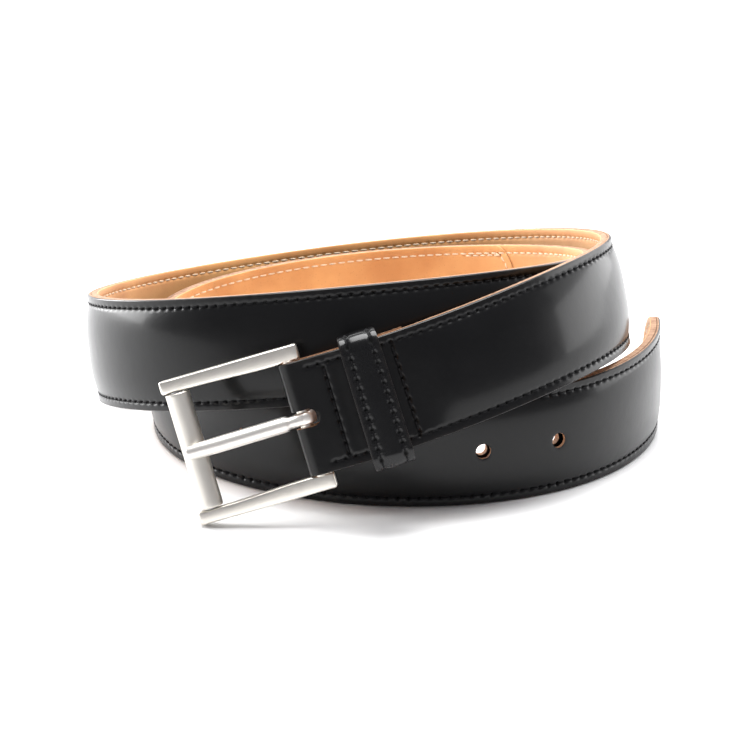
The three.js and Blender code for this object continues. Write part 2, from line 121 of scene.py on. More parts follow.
class Board:
    """The node tree of one material."""

    def __init__(self, name: str) -> None:
        """Makes an empty material with its Principled shader.

        Args:
            name: the material's name.
        """
        self.material = bpy.data.materials.new(name)
        self.material.use_nodes = True
        self.tree = self.material.node_tree
        self.tree.nodes.clear()
        self.output = self.add("ShaderNodeOutputMaterial", {}, {})
        self.shader = self.add("ShaderNodeBsdfPrincipled", {}, {})
        self.tree.links.new(self.shader.outputs[0], self.output.inputs["Surface"])

    def add(self, kind: str, settings: dict, inputs: dict) -> bpy.types.Node:
        """Adds any node.

        Args:
            kind: the node's type.
            settings: its properties, and "stops" for a colour ramp's places and colours.
            inputs: socket names or numbers, with values or Signals.

        Returns:
            The node.
        """
        node = self.tree.nodes.new(kind)
        for name, value in settings.items():
            if name == "stops":
                elements = node.color_ramp.elements
                while len(elements) < len(value):
                    elements.new(0.5)
                for element, (place, colour) in zip(elements, value):
                    element.position = place
                    element.color = (*colour, 1)
            else:
                setattr(node, name, value)
        for name, value in inputs.items():
            if isinstance(value, Signal):
                self.tree.links.new(value.socket, node.inputs[name])
            else:
                node.inputs[name].default_value = value
        return node

    def set(self, **values: "Signal | float | tuple") -> None:
        """Sets the Principled shader's sockets.

        Args:
            values: numbers, colours or Signals by socket name, with _ for a space.
        """
        for name, value in values.items():
            socket = self.shader.inputs[name.replace("_", " ")]
            if isinstance(value, Signal):
                self.tree.links.new(value.socket, socket)
            else:
                socket.default_value = value

    def place(self, stretch: tuple[float, float, float] = (1, 1, 1)) -> Signal:
        """Where a point is on the object.

        Args:
            stretch: how much each axis is stretched.

        Returns:
            The place, in metres.
        """
        where = self.add("ShaderNodeTexCoord", {}, {})
        scaled = self.add(
            "ShaderNodeVectorMath",
            {"operation": "MULTIPLY"},
            {0: Signal(self, where.outputs["Object"]), 1: stretch},
        )
        return Signal(self, scaled.outputs[0])

    def mark(self, name: str) -> Signal:
        """A number kept on the mesh's points."""
        node = self.add("ShaderNodeAttribute", {"attribute_name": name}, {})
        return Signal(self, node.outputs["Fac"])

    def noise(self, size: float, detail: float = 2, where: Signal | None = None) -> Signal:
        """Noise.

        Args:
            size: the size of its features, in millimetres.
            detail: how many finer layers it has.
            where: the place, if it isn't the plain one.

        Returns:
            The noise, about 0 to 1.
        """
        node = self.add(
            "ShaderNodeTexNoise",
            {},
            {"Vector": where or self.place(), "Scale": 1 / (size * MM), "Detail": detail},
        )
        return Signal(self, node.outputs["Fac"])

    def cells(self, size: float) -> Signal:
        """Cells, as on a grained hide.

        Args:
            size: the size of a cell, in millimetres.

        Returns:
            The distance to the nearest cell's middle.
        """
        node = self.add(
            "ShaderNodeTexVoronoi",
            {"feature": "F1"},
            {"Vector": self.place(), "Scale": 1 / (size * MM)},
        )
        return Signal(self, node.outputs["Distance"])

    def between(self, value: Signal, low: float, high: float) -> Signal:
        """Stretches a value, and holds it between 0 and 1.

        Args:
            value: the value.
            low: what gives 0.
            high: what gives 1.

        Returns:
            The stretched value.
        """
        node = self.add(
            "ShaderNodeMapRange", {"clamp": True}, {"Value": value, "From Min": low, "From Max": high}
        )
        return Signal(self, node.outputs[0])

    def mix(self, factor: Signal, first: "Signal | tuple", second: "Signal | tuple") -> Signal:
        """Mixes two colours.

        Args:
            factor: 0 for the first and 1 for the second.
            first: one colour.
            second: the other.

        Returns:
            The mixed colour.
        """
        colours = {
            6: first if isinstance(first, Signal) else (*first, 1),
            7: second if isinstance(second, Signal) else (*second, 1),
        }
        node = self.add("ShaderNodeMix", {"data_type": "RGBA"}, {0: factor, **colours})
        return Signal(self, node.outputs[2])

    def bump(self, height: Signal, depth: float, strength: float = 1.0) -> None:
        """Feeds a bump to the shader's normal.

        Args:
            height: the height, 0 to about 1.
            depth: how deep a height of 1 is, in millimetres.
            strength: share of the bump that shows.
        """
        node = self.add(
            "ShaderNodeBump", {}, {"Height": height, "Distance": depth * MM, "Strength": strength}
        )
        self.set(Normal=Signal(self, node.outputs[0]))


# ------------------------------------------------------------------ finishes


@dataclass(frozen=True)
class PolishedCalf:
    """Black calf, plated smooth and polished over its grain."""

    name: str = "polished_calf"
    colour: tuple = (0.0022, 0.0023, 0.0026)
    faded: tuple = (0.0045, 0.0045, 0.0048)
    worn: tuple = (0.022, 0.018, 0.016)
    # painted shade: the colour put into the needle holes, darker than the calf
    pit_shade_colour: tuple = (0.001, 0.001, 0.001)
    roughness: float = 0.24
    shine: float = 0.16
    glaze: float = 0.2
    glaze_roughness: float = 0.13

    def make(self) -> bpy.types.Material:
        """Makes the finish.

        Returns:
            Its material.
        """
        board = Board(self.name)
        cloud = board.noise(14, 3)
        grain = board.noise(0.55, 3)
        pores = board.between(board.cells(0.8), 0.0, 0.32)
        wear = board.mark("wear") * board.between(board.noise(1.6, 4), 0.35, 0.7)
        # The needle-hole mark darkens the base colour as painted shade; it also roughens the holes and
        # takes off the glaze.
        pit = board.between(board.mark("pit"), 0.15, 0.7)
        ground = board.mix(cloud, self.colour, self.faded)
        board.set(
            Base_Color=board.mix(pit, board.mix(wear, ground, self.worn), self.pit_shade_colour),
            Roughness=self.roughness + 0.07 * cloud + 0.05 * grain + 0.16 * wear + 0.5 * pit,
            Specular_IOR_Level=self.shine,
            Coat_Roughness=self.glaze_roughness,
            Coat_Weight=self.glaze * (1 - pit),
        )
        board.bump(0.5 * grain + 0.3 * pores + 2.2 * board.noise(5, 2), 0.035, 0.55)
        return board.material


@dataclass(frozen=True)
class NaturalLeather:
    """Vegetable-tanned leather with no dye, dry and smooth."""

    name: str = "natural_lining"
    colour: tuple = (0.69, 0.355, 0.130)
    deep: tuple = (0.53, 0.235, 0.075)
    pore: tuple = (0.30, 0.12, 0.045)
    roughness: float = 0.52

    def make(self) -> bpy.types.Material:
        """Makes the finish.

        Returns:
            Its material.
        """
        board = Board(self.name)
        cloud = board.between(board.noise(17, 4), 0.3, 0.72)
        fibre = board.noise(0.45, 4)
        pores = board.between(board.cells(1.1), 0.05, 0.22)
        ground = board.mix(cloud, self.colour, self.deep)
        board.set(
            Base_Color=board.mix((1 - pores) * 0.35, ground, self.pore),
            Roughness=self.roughness + 0.16 * fibre,
            Sheen_Weight=0.12,
            Sheen_Roughness=0.5,
        )
        board.bump(0.6 * fibre + 0.5 * pores, 0.06, 0.5)
        return board.material


@dataclass(frozen=True)
class CutEdge:
    """The raw cut edge of a hide: pale fibres packed in layers."""

    name: str
    colour: tuple
    deep: tuple

    def make(self) -> bpy.types.Material:
        """Makes the finish.

        Returns:
            Its material.
        """
        board = Board(self.name)
        layers = board.noise(0.5, 4, board.place((0.25, 0.25, 1.6)))
        speck = board.between(board.noise(0.25, 3), 0.35, 0.75)
        board.set(
            Base_Color=board.mix(board.between(layers, 0.38, 0.68), self.colour, self.deep),
            Roughness=0.72 + 0.18 * speck,
        )
        board.bump(layers + 0.5 * speck, 0.10, 0.7)
        return board.material


@dataclass(frozen=True)
class WaxedThread:
    """Twisted thread drawn through wax."""

    name: str
    colour: tuple
    pale: tuple
    roughness: float
    shine: float

    def make(self) -> bpy.types.Material:
        """Makes the finish.

        Returns:
            Its material.
        """
        board = Board(self.name)
        twist = board.noise(0.22, 2, board.place((1, 1, 0.55)))
        board.set(
            Base_Color=board.mix(board.between(twist, 0.35, 0.7), self.colour, self.pale),
            Roughness=self.roughness + 0.2 * twist,
            Specular_IOR_Level=self.shine,
        )
        board.bump(twist, 0.08, 0.6)
        return board.material


@dataclass(frozen=True)
class SatinNickel:
    """Nickel plate brushed to a warm satin."""

    name: str
    colour: tuple
    stretch: tuple
    roughness: float = 0.24

    def make(self) -> bpy.types.Material:
        """Makes the finish.

        Returns:
            Its material.
        """
        board = Board(self.name)
        brush = board.noise(0.35, 4, board.place(self.stretch))
        cloud = board.noise(6, 3)
        dimmer = tuple(0.9 * part for part in self.colour)
        board.set(
            Base_Color=board.mix(board.between(cloud, 0.3, 0.7), self.colour, dimmer),
            Metallic=1.0,
            Roughness=self.roughness + 0.12 * brush + 0.05 * cloud,
        )
        board.bump(brush + 1.5 * board.noise(4, 1), 0.008, 0.35)
        return board.material


class Coat(Enum):
    """Every finish on the belt."""

    CALF = PolishedCalf()
    GLAZED_CALF = PolishedCalf(name="glazed_calf", roughness=0.2, glaze=0.32)
    LINING = NaturalLeather()
    PALE_EDGE = CutEdge("pale_cut_edge", (0.36, 0.215, 0.13), (0.21, 0.10, 0.05))
    TAN_EDGE = CutEdge("tan_cut_edge", (0.42, 0.21, 0.10), (0.27, 0.11, 0.045))
    BLACK_THREAD = WaxedThread(
        "black_waxed_thread", (0.003, 0.003, 0.0035), (0.008, 0.008, 0.009), 0.5, 0.12
    )
    PALE_THREAD = WaxedThread("natural_waxed_thread", (0.66, 0.50, 0.34), (0.80, 0.68, 0.52), 0.6, 0.4)
    FRAME_NICKEL = SatinNickel("frame_nickel", (0.83, 0.79, 0.72), (0.25, 1, 1))
    ROLLER_NICKEL = SatinNickel("roller_nickel", (0.83, 0.79, 0.73), (1, 1, 0.2), 0.25)
    PRONG_NICKEL = SatinNickel("prong_nickel", (0.83, 0.80, 0.74), (0.25, 1, 1), 0.19)
    STEEL = SatinNickel("pin_steel", (0.55, 0.55, 0.55), (1, 1, 0.2), 0.3)

    def material(self) -> bpy.types.Material:
        """The finish's material, made the first time that it is asked for."""
        return bpy.data.materials.get(self.value.name) or self.value.make()


# ------------------------------------------------------------------ meshes


class Zone(IntEnum):
    """Where a strip of a leather layer lies, which is also the number of its coat."""

    OUTER = 0
    EDGE = 1
    INNER = 2


class Fit(Enum):
    """How one solid changes another."""

    CUT = "DIFFERENCE"
    JOIN = "UNION"


@dataclass
class Skin:
    """Rings of points that are joined into one closed mesh.

    Attributes:
        rings: (rings, points, 3) in millimetres.
        zones: the coat number of each strip between neighbouring points of a ring.
        closed: whether the last ring joins the first, as on a hoop.
        marks: numbers kept on the points, by name.
    """

    rings: np.ndarray
    zones: np.ndarray | None = None
    closed: bool = False
    marks: dict[str, np.ndarray] = field(default_factory=dict)

    def faces(self) -> tuple[np.ndarray, np.ndarray, list[list[int]]]:
        """Works out the faces.

        Returns:
            The four-sided faces, the coat of each, and the caps.
        """
        count, around = self.rings.shape[:2]
        spans = count if self.closed else count - 1
        ring = np.arange(spans)[:, None]
        step = np.arange(around)[None, :]
        after = (ring + 1) % count
        beside = (step + 1) % around
        corners = [ring * around + step, after * around + step, after * around + beside]
        corners.append(ring * around + beside)
        quads = np.stack([np.broadcast_to(c, (spans, around)) for c in corners], -1).reshape(-1, 4)
        zones = np.zeros(around, int) if self.zones is None else self.zones
        coats = np.tile(zones, spans)
        caps = []
        if not self.closed:
            last = (count - 1) * around
            caps = [list(range(around)), [last + i for i in reversed(range(around))]]
        return quads, coats, caps


def signed_volume(points: np.ndarray, quads: np.ndarray) -> float:
    """Measures the volume inside four-sided faces.

    Args:
        points: the mesh's points.
        quads: the four point numbers of each face.

    Returns:
        The volume, negative if the faces look inwards.
    """
    a, b, c, d = (points[quads[:, k]] for k in range(4))
    first = np.einsum("ij,ij->i", a, np.cross(b, c))
    return float((first + np.einsum("ij,ij->i", a, np.cross(c, d))).sum() / 6)


def build(
    name: str, skins: list[Skin], coats: list[Coat], cap_coat: int = 0, sharp: float = 40
) -> bpy.types.Object:
    """Makes one object of closed skins.

    Args:
        name: the piece's name.
        skins: the closed forms that it has.
        coats: its finishes, in the order that the zones number them.
        cap_coat: the number of the caps' finish.
        sharp: edges that turn more than this many degrees stay sharp.

    Returns:
        The object, in metres.
    """
    points, quads, zones, caps, marks = [], [], [], [], {}
    start = 0
    for skin in skins:
        flat = skin.rings.reshape(-1, 3) * MM
        faces, coat, ends = skin.faces()
        if signed_volume(flat - flat.mean(0), faces) < 0:
            faces = faces[:, ::-1]
            ends = [end[::-1] for end in ends]
        points.append(flat)
        quads.append(faces + start)
        zones.append(coat)
        caps += [[i + start for i in end] for end in ends]
        for key, values in skin.marks.items():
            marks.setdefault(key, []).append(values.reshape(-1))
        start += len(flat)
    all_points, all_quads = np.concatenate(points), np.concatenate(quads)
    mesh = bpy.data.meshes.new(name)
    mesh.from_pydata(all_points.tolist(), [], all_quads.tolist() + caps)
    coat_of = np.concatenate([*zones, np.full(len(caps), cap_coat)]).astype(np.int32)
    mesh.polygons.foreach_set("material_index", coat_of)
    mesh.polygons.foreach_set("use_smooth", np.ones(len(mesh.polygons), bool))
    for key, values in marks.items():
        attribute = mesh.attributes.new(key, "FLOAT", "POINT")
        attribute.data.foreach_set("value", np.concatenate(values).astype(np.float32))
    for coat in coats:
        mesh.materials.append(coat.material())
    mesh.set_sharp_from_angle(angle=math.radians(sharp))
    piece = bpy.data.objects.new(name, mesh)
    bpy.context.scene.collection.objects.link(piece)
    return piece


def combine(piece: bpy.types.Object, other: bpy.types.Object, fit: Fit, sharp: float = 40) -> None:
    """Changes one solid by another, which is then removed.

    Args:
        piece: the solid that is kept.
        other: the solid that cuts it or is joined on.
        fit: which of the two.
        sharp: edges that turn more than this many degrees stay sharp.
    """
    change = piece.modifiers.new(fit.name.lower(), "BOOLEAN")
    change.operation = fit.value
    change.solver = "MANIFOLD"
    change.object = other
    bpy.context.view_layer.update()
    solid = piece.evaluated_get(bpy.context.evaluated_depsgraph_get())
    mesh = bpy.data.meshes.new_from_object(solid)
    piece.modifiers.remove(change)
    piece.data = mesh
    bpy.data.objects.remove(other)
    mesh.polygons.foreach_set("use_smooth", np.ones(len(mesh.polygons), bool))
    mesh.set_sharp_from_angle(angle=math.radians(sharp))


def rounded_outline(corners: list[tuple], radii: list[float], steps: int = 5) -> np.ndarray:
    """A closed outline with round corners.

    Args:
        corners: the corners in order.
        radii: the radius at each corner.
        steps: spans in each round.

    Returns:
        The outline's points, (n, 2).
    """
    at = np.asarray(corners, float)
    outline = []
    for here, before, after, radius in zip(at, np.roll(at, 1, 0), np.roll(at, -1, 0), radii):
        back, on = unit(before - here), unit(after - here)
        half = math.acos(np.clip(back @ on, -1, 1)) / 2
        centre = here + unit(back + on) * radius / math.sin(half)
        start = here + back * radius / math.tan(half) - centre
        end = here + on * radius / math.tan(half) - centre
        turn = math.atan2(start[0] * end[1] - start[1] * end[0], start @ end)
        for angle in np.linspace(0, turn, steps + 1):
            cos, sin = math.cos(angle), math.sin(angle)
            outline.append(centre + (start[0] * cos - start[1] * sin, start[0] * sin + start[1] * cos))
    return np.array(outline)


# ------------------------------------------------------------------ route


@dataclass
class Line:
    """Points along the strap: the glue line's middle, the way up and the way the face looks."""

    middle: np.ndarray
    up: np.ndarray
    face: np.ndarray

    def at(self, across: np.ndarray, depth: np.ndarray) -> np.ndarray:
        """Finds points on the strap.

        Args:
            across: places across it, one row for each station.
            depth: depths, in the same rows.

        Returns:
            The points.
        """
        return (
            self.middle[..., None, :]
            + self.up[..., None, :] * across[..., None]
            + self.face[..., None, :] * depth[..., None]
        )


@dataclass
class Route:
    """The way the strap runs round the coil, from the heel bar to its tip.

    A row of stations has how far outside the base oval it lies, how far on along it, the
    height of the strap's middle in strap widths, and the outward lean in degrees.
    """

    width: float = 35
    half_width: float = 88
    half_depth: float = 84
    first_angle: float = -180
    station_angle: float = 45
    start: float = 0.664
    end: float = 19.29
    tip_length: float = 15
    slice_length: float = 17
    settle: tuple[float, float] = (2, 30)
    shift: np.ndarray = field(default_factory=lambda: np.zeros(3))
    stations: tuple = (
        (13, 14, -0.25, 2),
        (14.5, 9, 0.53, -5),
        (11, 3, 1.18, -13),
        (3, 0, 1.60, -21),
        (3, -2, 1.46, -11),
        (5, -1, 1.03, 2),
        (9, -2, 0.66, 12),
        (10, -2, 0.55, 15),
        (10, -2, 0.83, 5),
        (2, -2, 1.26, -5),
        (-4, -1, 1.57, -14),
        (-7, 1, 1.52, -12),
        (-4, 4, 1.23, -3),
        (-4, 7, 0.87, 6),
        (-2, 13, 0.63, 6),
        (-1, 16, 0.51, 2),
        (-19, 17, 0.50, 0),
        (-19, 15, 0.50, 0),
        (-6, 11, 0.50, 0),
        (7, 5, 0.50, 0),
        (18, 3, 0.50, 0),
        (34, -3, 0.50, 0),
        (44, -6, 0.50, 0),
    )

    def __post_init__(self) -> None:
        """Measures the curve, and squares its first stretch to the heel bar."""
        rows = np.array(self.stations, float)
        angle = np.radians(self.first_angle + self.station_angle * np.arange(len(rows)))
        x = (self.half_width + rows[:, 0]) * np.cos(angle) - rows[:, 1] * np.sin(angle)
        y = (self.half_depth + rows[:, 0]) * np.sin(angle) + rows[:, 1] * np.cos(angle)
        self.controls = np.stack([x, y, rows[:, 2] * self.width, np.radians(rows[:, 3])], 1)
        self.places = np.linspace(self.start, self.end, 24001)
        points = self.spline(self.places)[:, :3]
        steps = np.linalg.norm(np.diff(points, axis=0), axis=1)
        self.lengths = np.concatenate([[0], np.cumsum(steps)])
        self.length = float(self.lengths[-1])
        tip_start = self.length - self.tip_length
        first_slice = tip_start / round(tip_start / self.slice_length)
        ends = self.curve(np.array([0.0, first_slice]))
        run = unit(ends.middle[1] - ends.middle[0])
        up = unit(ends.up[0] - run * (ends.up[0] @ run))
        self.square = (ends.middle[0], run, up, np.cross(run, up))

    def spline(self, place: np.ndarray) -> np.ndarray:
        """The cubic curve that the stations shape.

        Args:
            place: places counted in stations.

        Returns:
            x, y, z and lean at each place.
        """
        index = np.minimum(np.floor(place).astype(int), len(self.controls) - 4)
        t = (place - index)[:, None]
        weights = ((1 - t) ** 3, 3 * t**3 - 6 * t**2 + 4, -3 * t**3 + 3 * t**2 + 3 * t + 1, t**3)
        return sum(weight / 6 * self.controls[index + k] for k, weight in enumerate(weights))

    def curve(self, distance: np.ndarray) -> Line:
        """The smooth curve.

        Args:
            distance: distances from the heel bar.

        Returns:
            The line of the strap there.
        """
        place = np.interp(distance, self.lengths, self.places)
        here = self.spline(place)
        nudge = 1e-3
        run = unit(self.spline(place + nudge)[:, :3] - self.spline(place - nudge)[:, :3])
        level = unit(np.array([0, 0, 1.0]) - run * run[:, 2:])
        lean = here[:, 3:]
        up = level * np.cos(lean) + np.cross(run, level) * np.sin(lean)
        return Line(here[:, :3], up, np.cross(run, up))

    def line(self, distance: np.ndarray) -> Line:
        """The strap, straight where the buckle holds it.

        Args:
            distance: distances from the heel bar.

        Returns:
            The line of the strap there.
        """
        distance = np.asarray(distance, float).reshape(-1)
        smooth = self.curve(np.clip(distance, 0, self.length))
        middle, run, up, face = self.square
        share = smoothstep(distance, *self.settle)[:, None]
        straight = middle + run * distance[:, None]
        mixed_up = unit(smooth.up * share + up * (1 - share))
        mixed_face = unit(smooth.face * share + face * (1 - share))
        return Line(smooth.middle * share + straight * (1 - share) + self.shift, mixed_up, mixed_face)


# ------------------------------------------------------------------ stitches


@dataclass
class Seam:
    """A row of lock stitches along a path of (distance, across) points.

    Attributes:
        path: the path on the strap.
        pitch: from one needle hole to the next.
        thread: the thread's thickness.
        slant: how far a stitch's ends stand off the row.
        groove_reach: how wide the row's groove spreads.
        hole_reach: how wide a needle hole's pit spreads.
        flatness: height of a stitch as a share of its width.
    """

    path: np.ndarray
    pitch: float = 3.25
    thread: float = 0.54
    slant: float = 0.05
    groove_reach: float = 0.55
    hole_reach: float = 0.62
    flatness: float = 0.62

    def __post_init__(self) -> None:
        """Spaces the needle holes evenly along the path."""
        steps = np.linalg.norm(np.diff(self.path, axis=0), axis=1)
        along = np.concatenate([[0], np.cumsum(steps)])
        count = max(1, round(along[-1] / self.pitch))
        spots = np.linspace(0, along[-1], count + 1)
        self.holes = np.stack([np.interp(spots, along, self.path[:, k]) for k in range(2)], 1)

    def pit_shades(self, distance: np.ndarray, across: np.ndarray) -> np.ndarray:
        """Share of a needle hole's depth at places in a grid, the mask for the shade painted into the
        holes.
        """
        return self.press(distance, across, 0, 1)

    def press(self, distance: np.ndarray, across: np.ndarray, groove: float, hole: float) -> np.ndarray:
        """How far the seam pulls the surface in.

        Args:
            distance: places along the strap, in a grid.
            across: places across it, in the same grid.
            groove: depth along the row.
            hole: depth more at each needle hole.

        Returns:
            The depth at each place.
        """
        low, high = self.holes.min(0) - 2, self.holes.max(0) + 2
        inside = (distance > low[0]) & (distance < high[0]) & (across > low[1]) & (across < high[1])
        depth = np.zeros_like(distance)
        where = np.argwhere(inside)
        if not len(where):
            return depth
        spots = np.stack([distance[inside], across[inside]], 1)
        steps = self.holes[1:] - self.holes[:-1]
        fine = np.concatenate([self.holes[:-1] + steps * k / 4 for k in range(4)])
        order = np.argsort(spots[:, 0])
        result = np.zeros(len(spots))
        for chunk in np.array_split(order, max(1, len(order) // 1500)):
            part = spots[chunk]
            near = fine[(fine[:, 0] > part[0, 0] - 3) & (fine[:, 0] < part[-1, 0] + 3)]
            pins = self.holes[(self.holes[:, 0] > part[0, 0] - 3) & (self.holes[:, 0] < part[-1, 0] + 3)]
            if not len(near) or not len(pins):
                continue
            row = ((part[:, None] - near[None]) ** 2).sum(-1).min(1)
            pin = ((part[:, None] - pins[None]) ** 2).sum(-1).min(1)
            row_share = np.exp(-row / self.groove_reach**2)
            result[chunk] = groove * row_share + hole * np.exp(-pin / self.hole_reach**2)
        depth[inside] = result
        return depth

    def skins(self, surface: Surface, rise: float = -0.04) -> list[Skin]:
        """The stitches, each a short thread that dives in at both ends.

        Args:
            surface: a function from (distance, across) to points on the strap and their normals.
            rise: how far a stitch's middle stands above the surface.

        Returns:
            One skin for each stitch.
        """
        start, end = self.holes[:-1], self.holes[1:]
        run = end - start
        length = np.linalg.norm(run, axis=1, keepdims=True)
        side = np.stack([-run[:, 1], run[:, 0]], 1) / length
        shares = np.array([0.09, 0.16, 0.3, 0.5, 0.7, 0.84, 0.91])
        lift = np.array([-0.42, -0.12, 0.06, 0.12, 0.06, -0.12, -0.42]) + rise - 0.12
        girth = np.array([0.45, 0.82, 1.0, 1.04, 1.0, 0.82, 0.45])
        tilt = self.slant * (shares - 0.5) * 2
        spots = start[:, None] + run[:, None] * shares[None, :, None] + side[:, None] * tilt[None, :, None]
        centre, normal = surface(spots[..., 0].ravel(), spots[..., 1].ravel())
        shape = (len(start), len(shares), 3)
        centre, normal = centre.reshape(shape), normal.reshape(shape)
        centre = centre + normal * lift[None, :, None]
        ahead = unit(np.gradient(centre, axis=1))
        beside = unit(np.cross(ahead, normal))
        over = np.cross(beside, ahead)
        angle = np.linspace(0, 2 * math.pi, 8, endpoint=False)
        radius = girth[None, :, None, None] * self.thread / 2
        ring = (
            beside[:, :, None] * np.cos(angle)[None, None, :, None]
            + over[:, :, None] * np.sin(angle)[None, None, :, None] * self.flatness
        )
        rings = centre[:, :, None] + ring * radius
        return [Skin(one) for one in rings]


# ------------------------------------------------------------------ strap


@dataclass
class Strap:
    """The padded strap: face leather turned back round the bar, two linings and seams."""

    route: Route
    face_thickness: float = 1.1
    lining_thickness: float = 2.2
    glue: float = 0.2
    crown: float = 1.5
    crown_power: float = 3.0
    crown_start: float = 34
    crown_ramp: float = 14
    tip_crown_gap: float = 6
    stitch_inset: float = 2.7
    seam_start: float = 5.5
    hole_count: int = 5
    hole_pitch: float = 25.4
    hole_radius: float = 2.4
    tip_to_hole: float = 100
    lap_at: float = 735
    lap_length: float = 18
    lap_round: float = 9
    lap_rise: float = 0.45
    lining_start: float = 6
    chape_lining: float = 1.1
    turnback: float = 37.4
    turnback_depth: float = -4.5
    bar_depth: float = -2.2
    slot_width: float = 5.4
    slot_past_bar: float = 5.2
    chape_rows: tuple[float, float] = (10.2, 31.7)
    chape_half: float = 13.5
    row_step: float = 0.8
    lap_inset: float = 2.6
    lap_pitch: float = 2.7
    face_soft: float = 0.55
    lining_soft: float = 0.3
    edge_press: tuple[float, float] = (0.10, 0.62)
    chape_press: tuple[float, float] = (0.34, 0.5)
    back_press: tuple[float, float] = (0.25, 0.3)
    lining_press: tuple[float, float] = (0.14, 0.26)
    lap_press: tuple[float, float] = (0.12, 0.2)
    hole_sink: float = 0.22
    lining_sink: float = 0.15
    crease_at: float = 13.6
    crease_depth: float = 0.10

    def __post_init__(self) -> None:
        """Works out the seams and the holes from the sizes."""
        self.half = self.route.width / 2
        self.length = self.route.length
        self.tip_start = self.length - self.route.tip_length
        self.seam_across = self.half - self.stitch_inset
        self.outer = self.glue / 2 + self.face_thickness
        self.lining_in = -self.glue / 2 - self.lining_thickness
        self.holes = [self.length - self.tip_to_hole - i * self.hole_pitch for i in range(self.hole_count)]
        self.edge_seam = Seam(self.edge_path(self.seam_start))
        self.lining_seam = Seam(self.edge_path(self.turnback + 1.5))
        self.cross_seams = [Seam(self.cross_path(at)) for at in self.chape_rows]
        self.lap_seam = Seam(self.lap_path(), self.lap_pitch)
        self.back_tack = Seam(self.tack_path())

    def edge_path(self, start: float) -> np.ndarray:
        """Out along the top edge, round the tip and back along the lower edge.

        Args:
            start: distance where the seam begins and ends.

        Returns:
            The path of the seam.
        """
        reach = self.route.tip_length - self.stitch_inset
        turn = np.linspace(math.pi / 2, -math.pi / 2, 60)
        round_tip = np.stack([self.tip_start + reach * np.cos(turn), self.seam_across * np.sin(turn)], 1)
        top = [(start, self.seam_across)]
        return np.concatenate([top, round_tip, [(start, -self.seam_across)]])

    def cross_path(self, distance: float) -> np.ndarray:
        """Straight across the chape."""
        return np.array([(distance, -self.chape_half), (distance, self.chape_half)])

    def lap_path(self) -> np.ndarray:
        """Runs round the end of the overlaid lining.

        Returns:
            The path of the seam.
        """
        turn = np.linspace(-math.pi / 2, math.pi / 2, 40)
        start = self.lap_at - self.lap_length
        along = start + self.lap_round - (self.lap_round - self.lap_inset) * np.cos(turn)
        return np.stack([along, self.seam_across * np.sin(turn)], 1)

    def tack_path(self) -> np.ndarray:
        """Runs where a few stitches are sewn twice, as the two lining seams meet.

        Returns:
            The path of the seam.
        """
        start = self.lap_at - self.lap_length
        inset = self.seam_across - 0.75
        return np.array([(start + self.lap_round - 2, inset), (start + self.lap_round + 13, inset)])

    def distances(self, extra: Sequence[float] = ()) -> np.ndarray:
        """Rows along the strap, closer where something is sewn or punched.

        Args:
            extra: distances that also have a row.

        Returns:
            The distances of the rows.
        """
        rows = [np.arange(0, self.tip_start, self.row_step)]
        rows += [np.arange(at - 3.4, at + 3.4, 0.4) for at in self.holes]
        rows += [np.arange(at - 1.6, at + 1.6, 0.32) for at in self.chape_rows]
        rows += [np.atleast_1d(one) for one in extra]
        turn = np.linspace(0, math.pi / 2, 30)
        rows.append(self.tip_start + self.route.tip_length * np.sin(turn))
        merged = np.unique(np.concatenate(rows))
        keep = np.concatenate([[True], np.diff(merged) > 0.12])
        return merged[keep & (merged >= 0)]

    def tip_share(self, distance: np.ndarray) -> np.ndarray:
        """Share of the full width left as the tip rounds off."""
        past = np.clip((distance - self.tip_start) / self.route.tip_length, 0, 1)
        return np.sqrt(np.maximum(0.0009, 1 - past**2))

    def crown_at(self, distance: np.ndarray, across: np.ndarray) -> np.ndarray:
        """Height of the padding.

        Args:
            distance: places along the strap.
            across: places across it.

        Returns:
            The height at each place.
        """
        rise = smoothstep(distance, self.crown_start, self.crown_start + self.crown_ramp)
        end = self.tip_start - self.tip_crown_gap
        rise = rise * (1 - smoothstep(distance, end - self.crown_ramp, end))
        side = np.minimum(1, np.abs(across) / (self.seam_across - 0.6))
        return self.crown * rise * (1 - side**self.crown_power)

    def face_surface(self, distance: np.ndarray, across: np.ndarray) -> tuple[np.ndarray, np.ndarray]:
        """The face.

        Args:
            distance: places along the strap.
            across: places across it.

        Returns:
            Points on it and their normals.
        """
        line = self.route.line(distance)
        depth = self.outer + self.crown_at(distance, across)
        return line.middle + line.up * across[:, None] + line.face * depth[:, None], line.face

    def lining_surface(self, distance: np.ndarray, across: np.ndarray) -> tuple[np.ndarray, np.ndarray]:
        """The lining's open side.

        Args:
            distance: places along the strap.
            across: places across it.

        Returns:
            Points on it and their normals.
        """
        line = self.route.line(distance)
        depth = self.lining_in - self.lap_rise_at(distance, across)
        return line.middle + line.up * across[:, None] + line.face * depth[:, None], -line.face

    def turnback_surface(self, distance: np.ndarray, across: np.ndarray) -> tuple[np.ndarray, np.ndarray]:
        """The outside of the turned-back end.

        Args:
            distance: places along the strap.
            across: places across it.

        Returns:
            Points on it and their normals.
        """
        line = self.route.line(distance)
        depth = self.turnback_depth - self.face_thickness
        return line.middle + line.up * across[:, None] + line.face * depth, -line.face

    def lap_rise_at(self, distance: np.ndarray, across: np.ndarray) -> np.ndarray:
        """How far the overlaid end of the lining stands proud.

        Args:
            distance: places along the strap.
            across: places across it.

        Returns:
            The height at each place.
        """
        start = self.lap_at - self.lap_length
        left = np.clip((start + self.lap_round - distance) / self.lap_round, 0, None)
        inside = 1 - left**2 - (across / self.half) ** 2 * np.where(left > 0, 1, 0)
        fade = 1 - smoothstep(distance, self.lap_at, self.lap_at + 40)
        return self.lap_rise * fade * (inside > 0) * (distance > start)

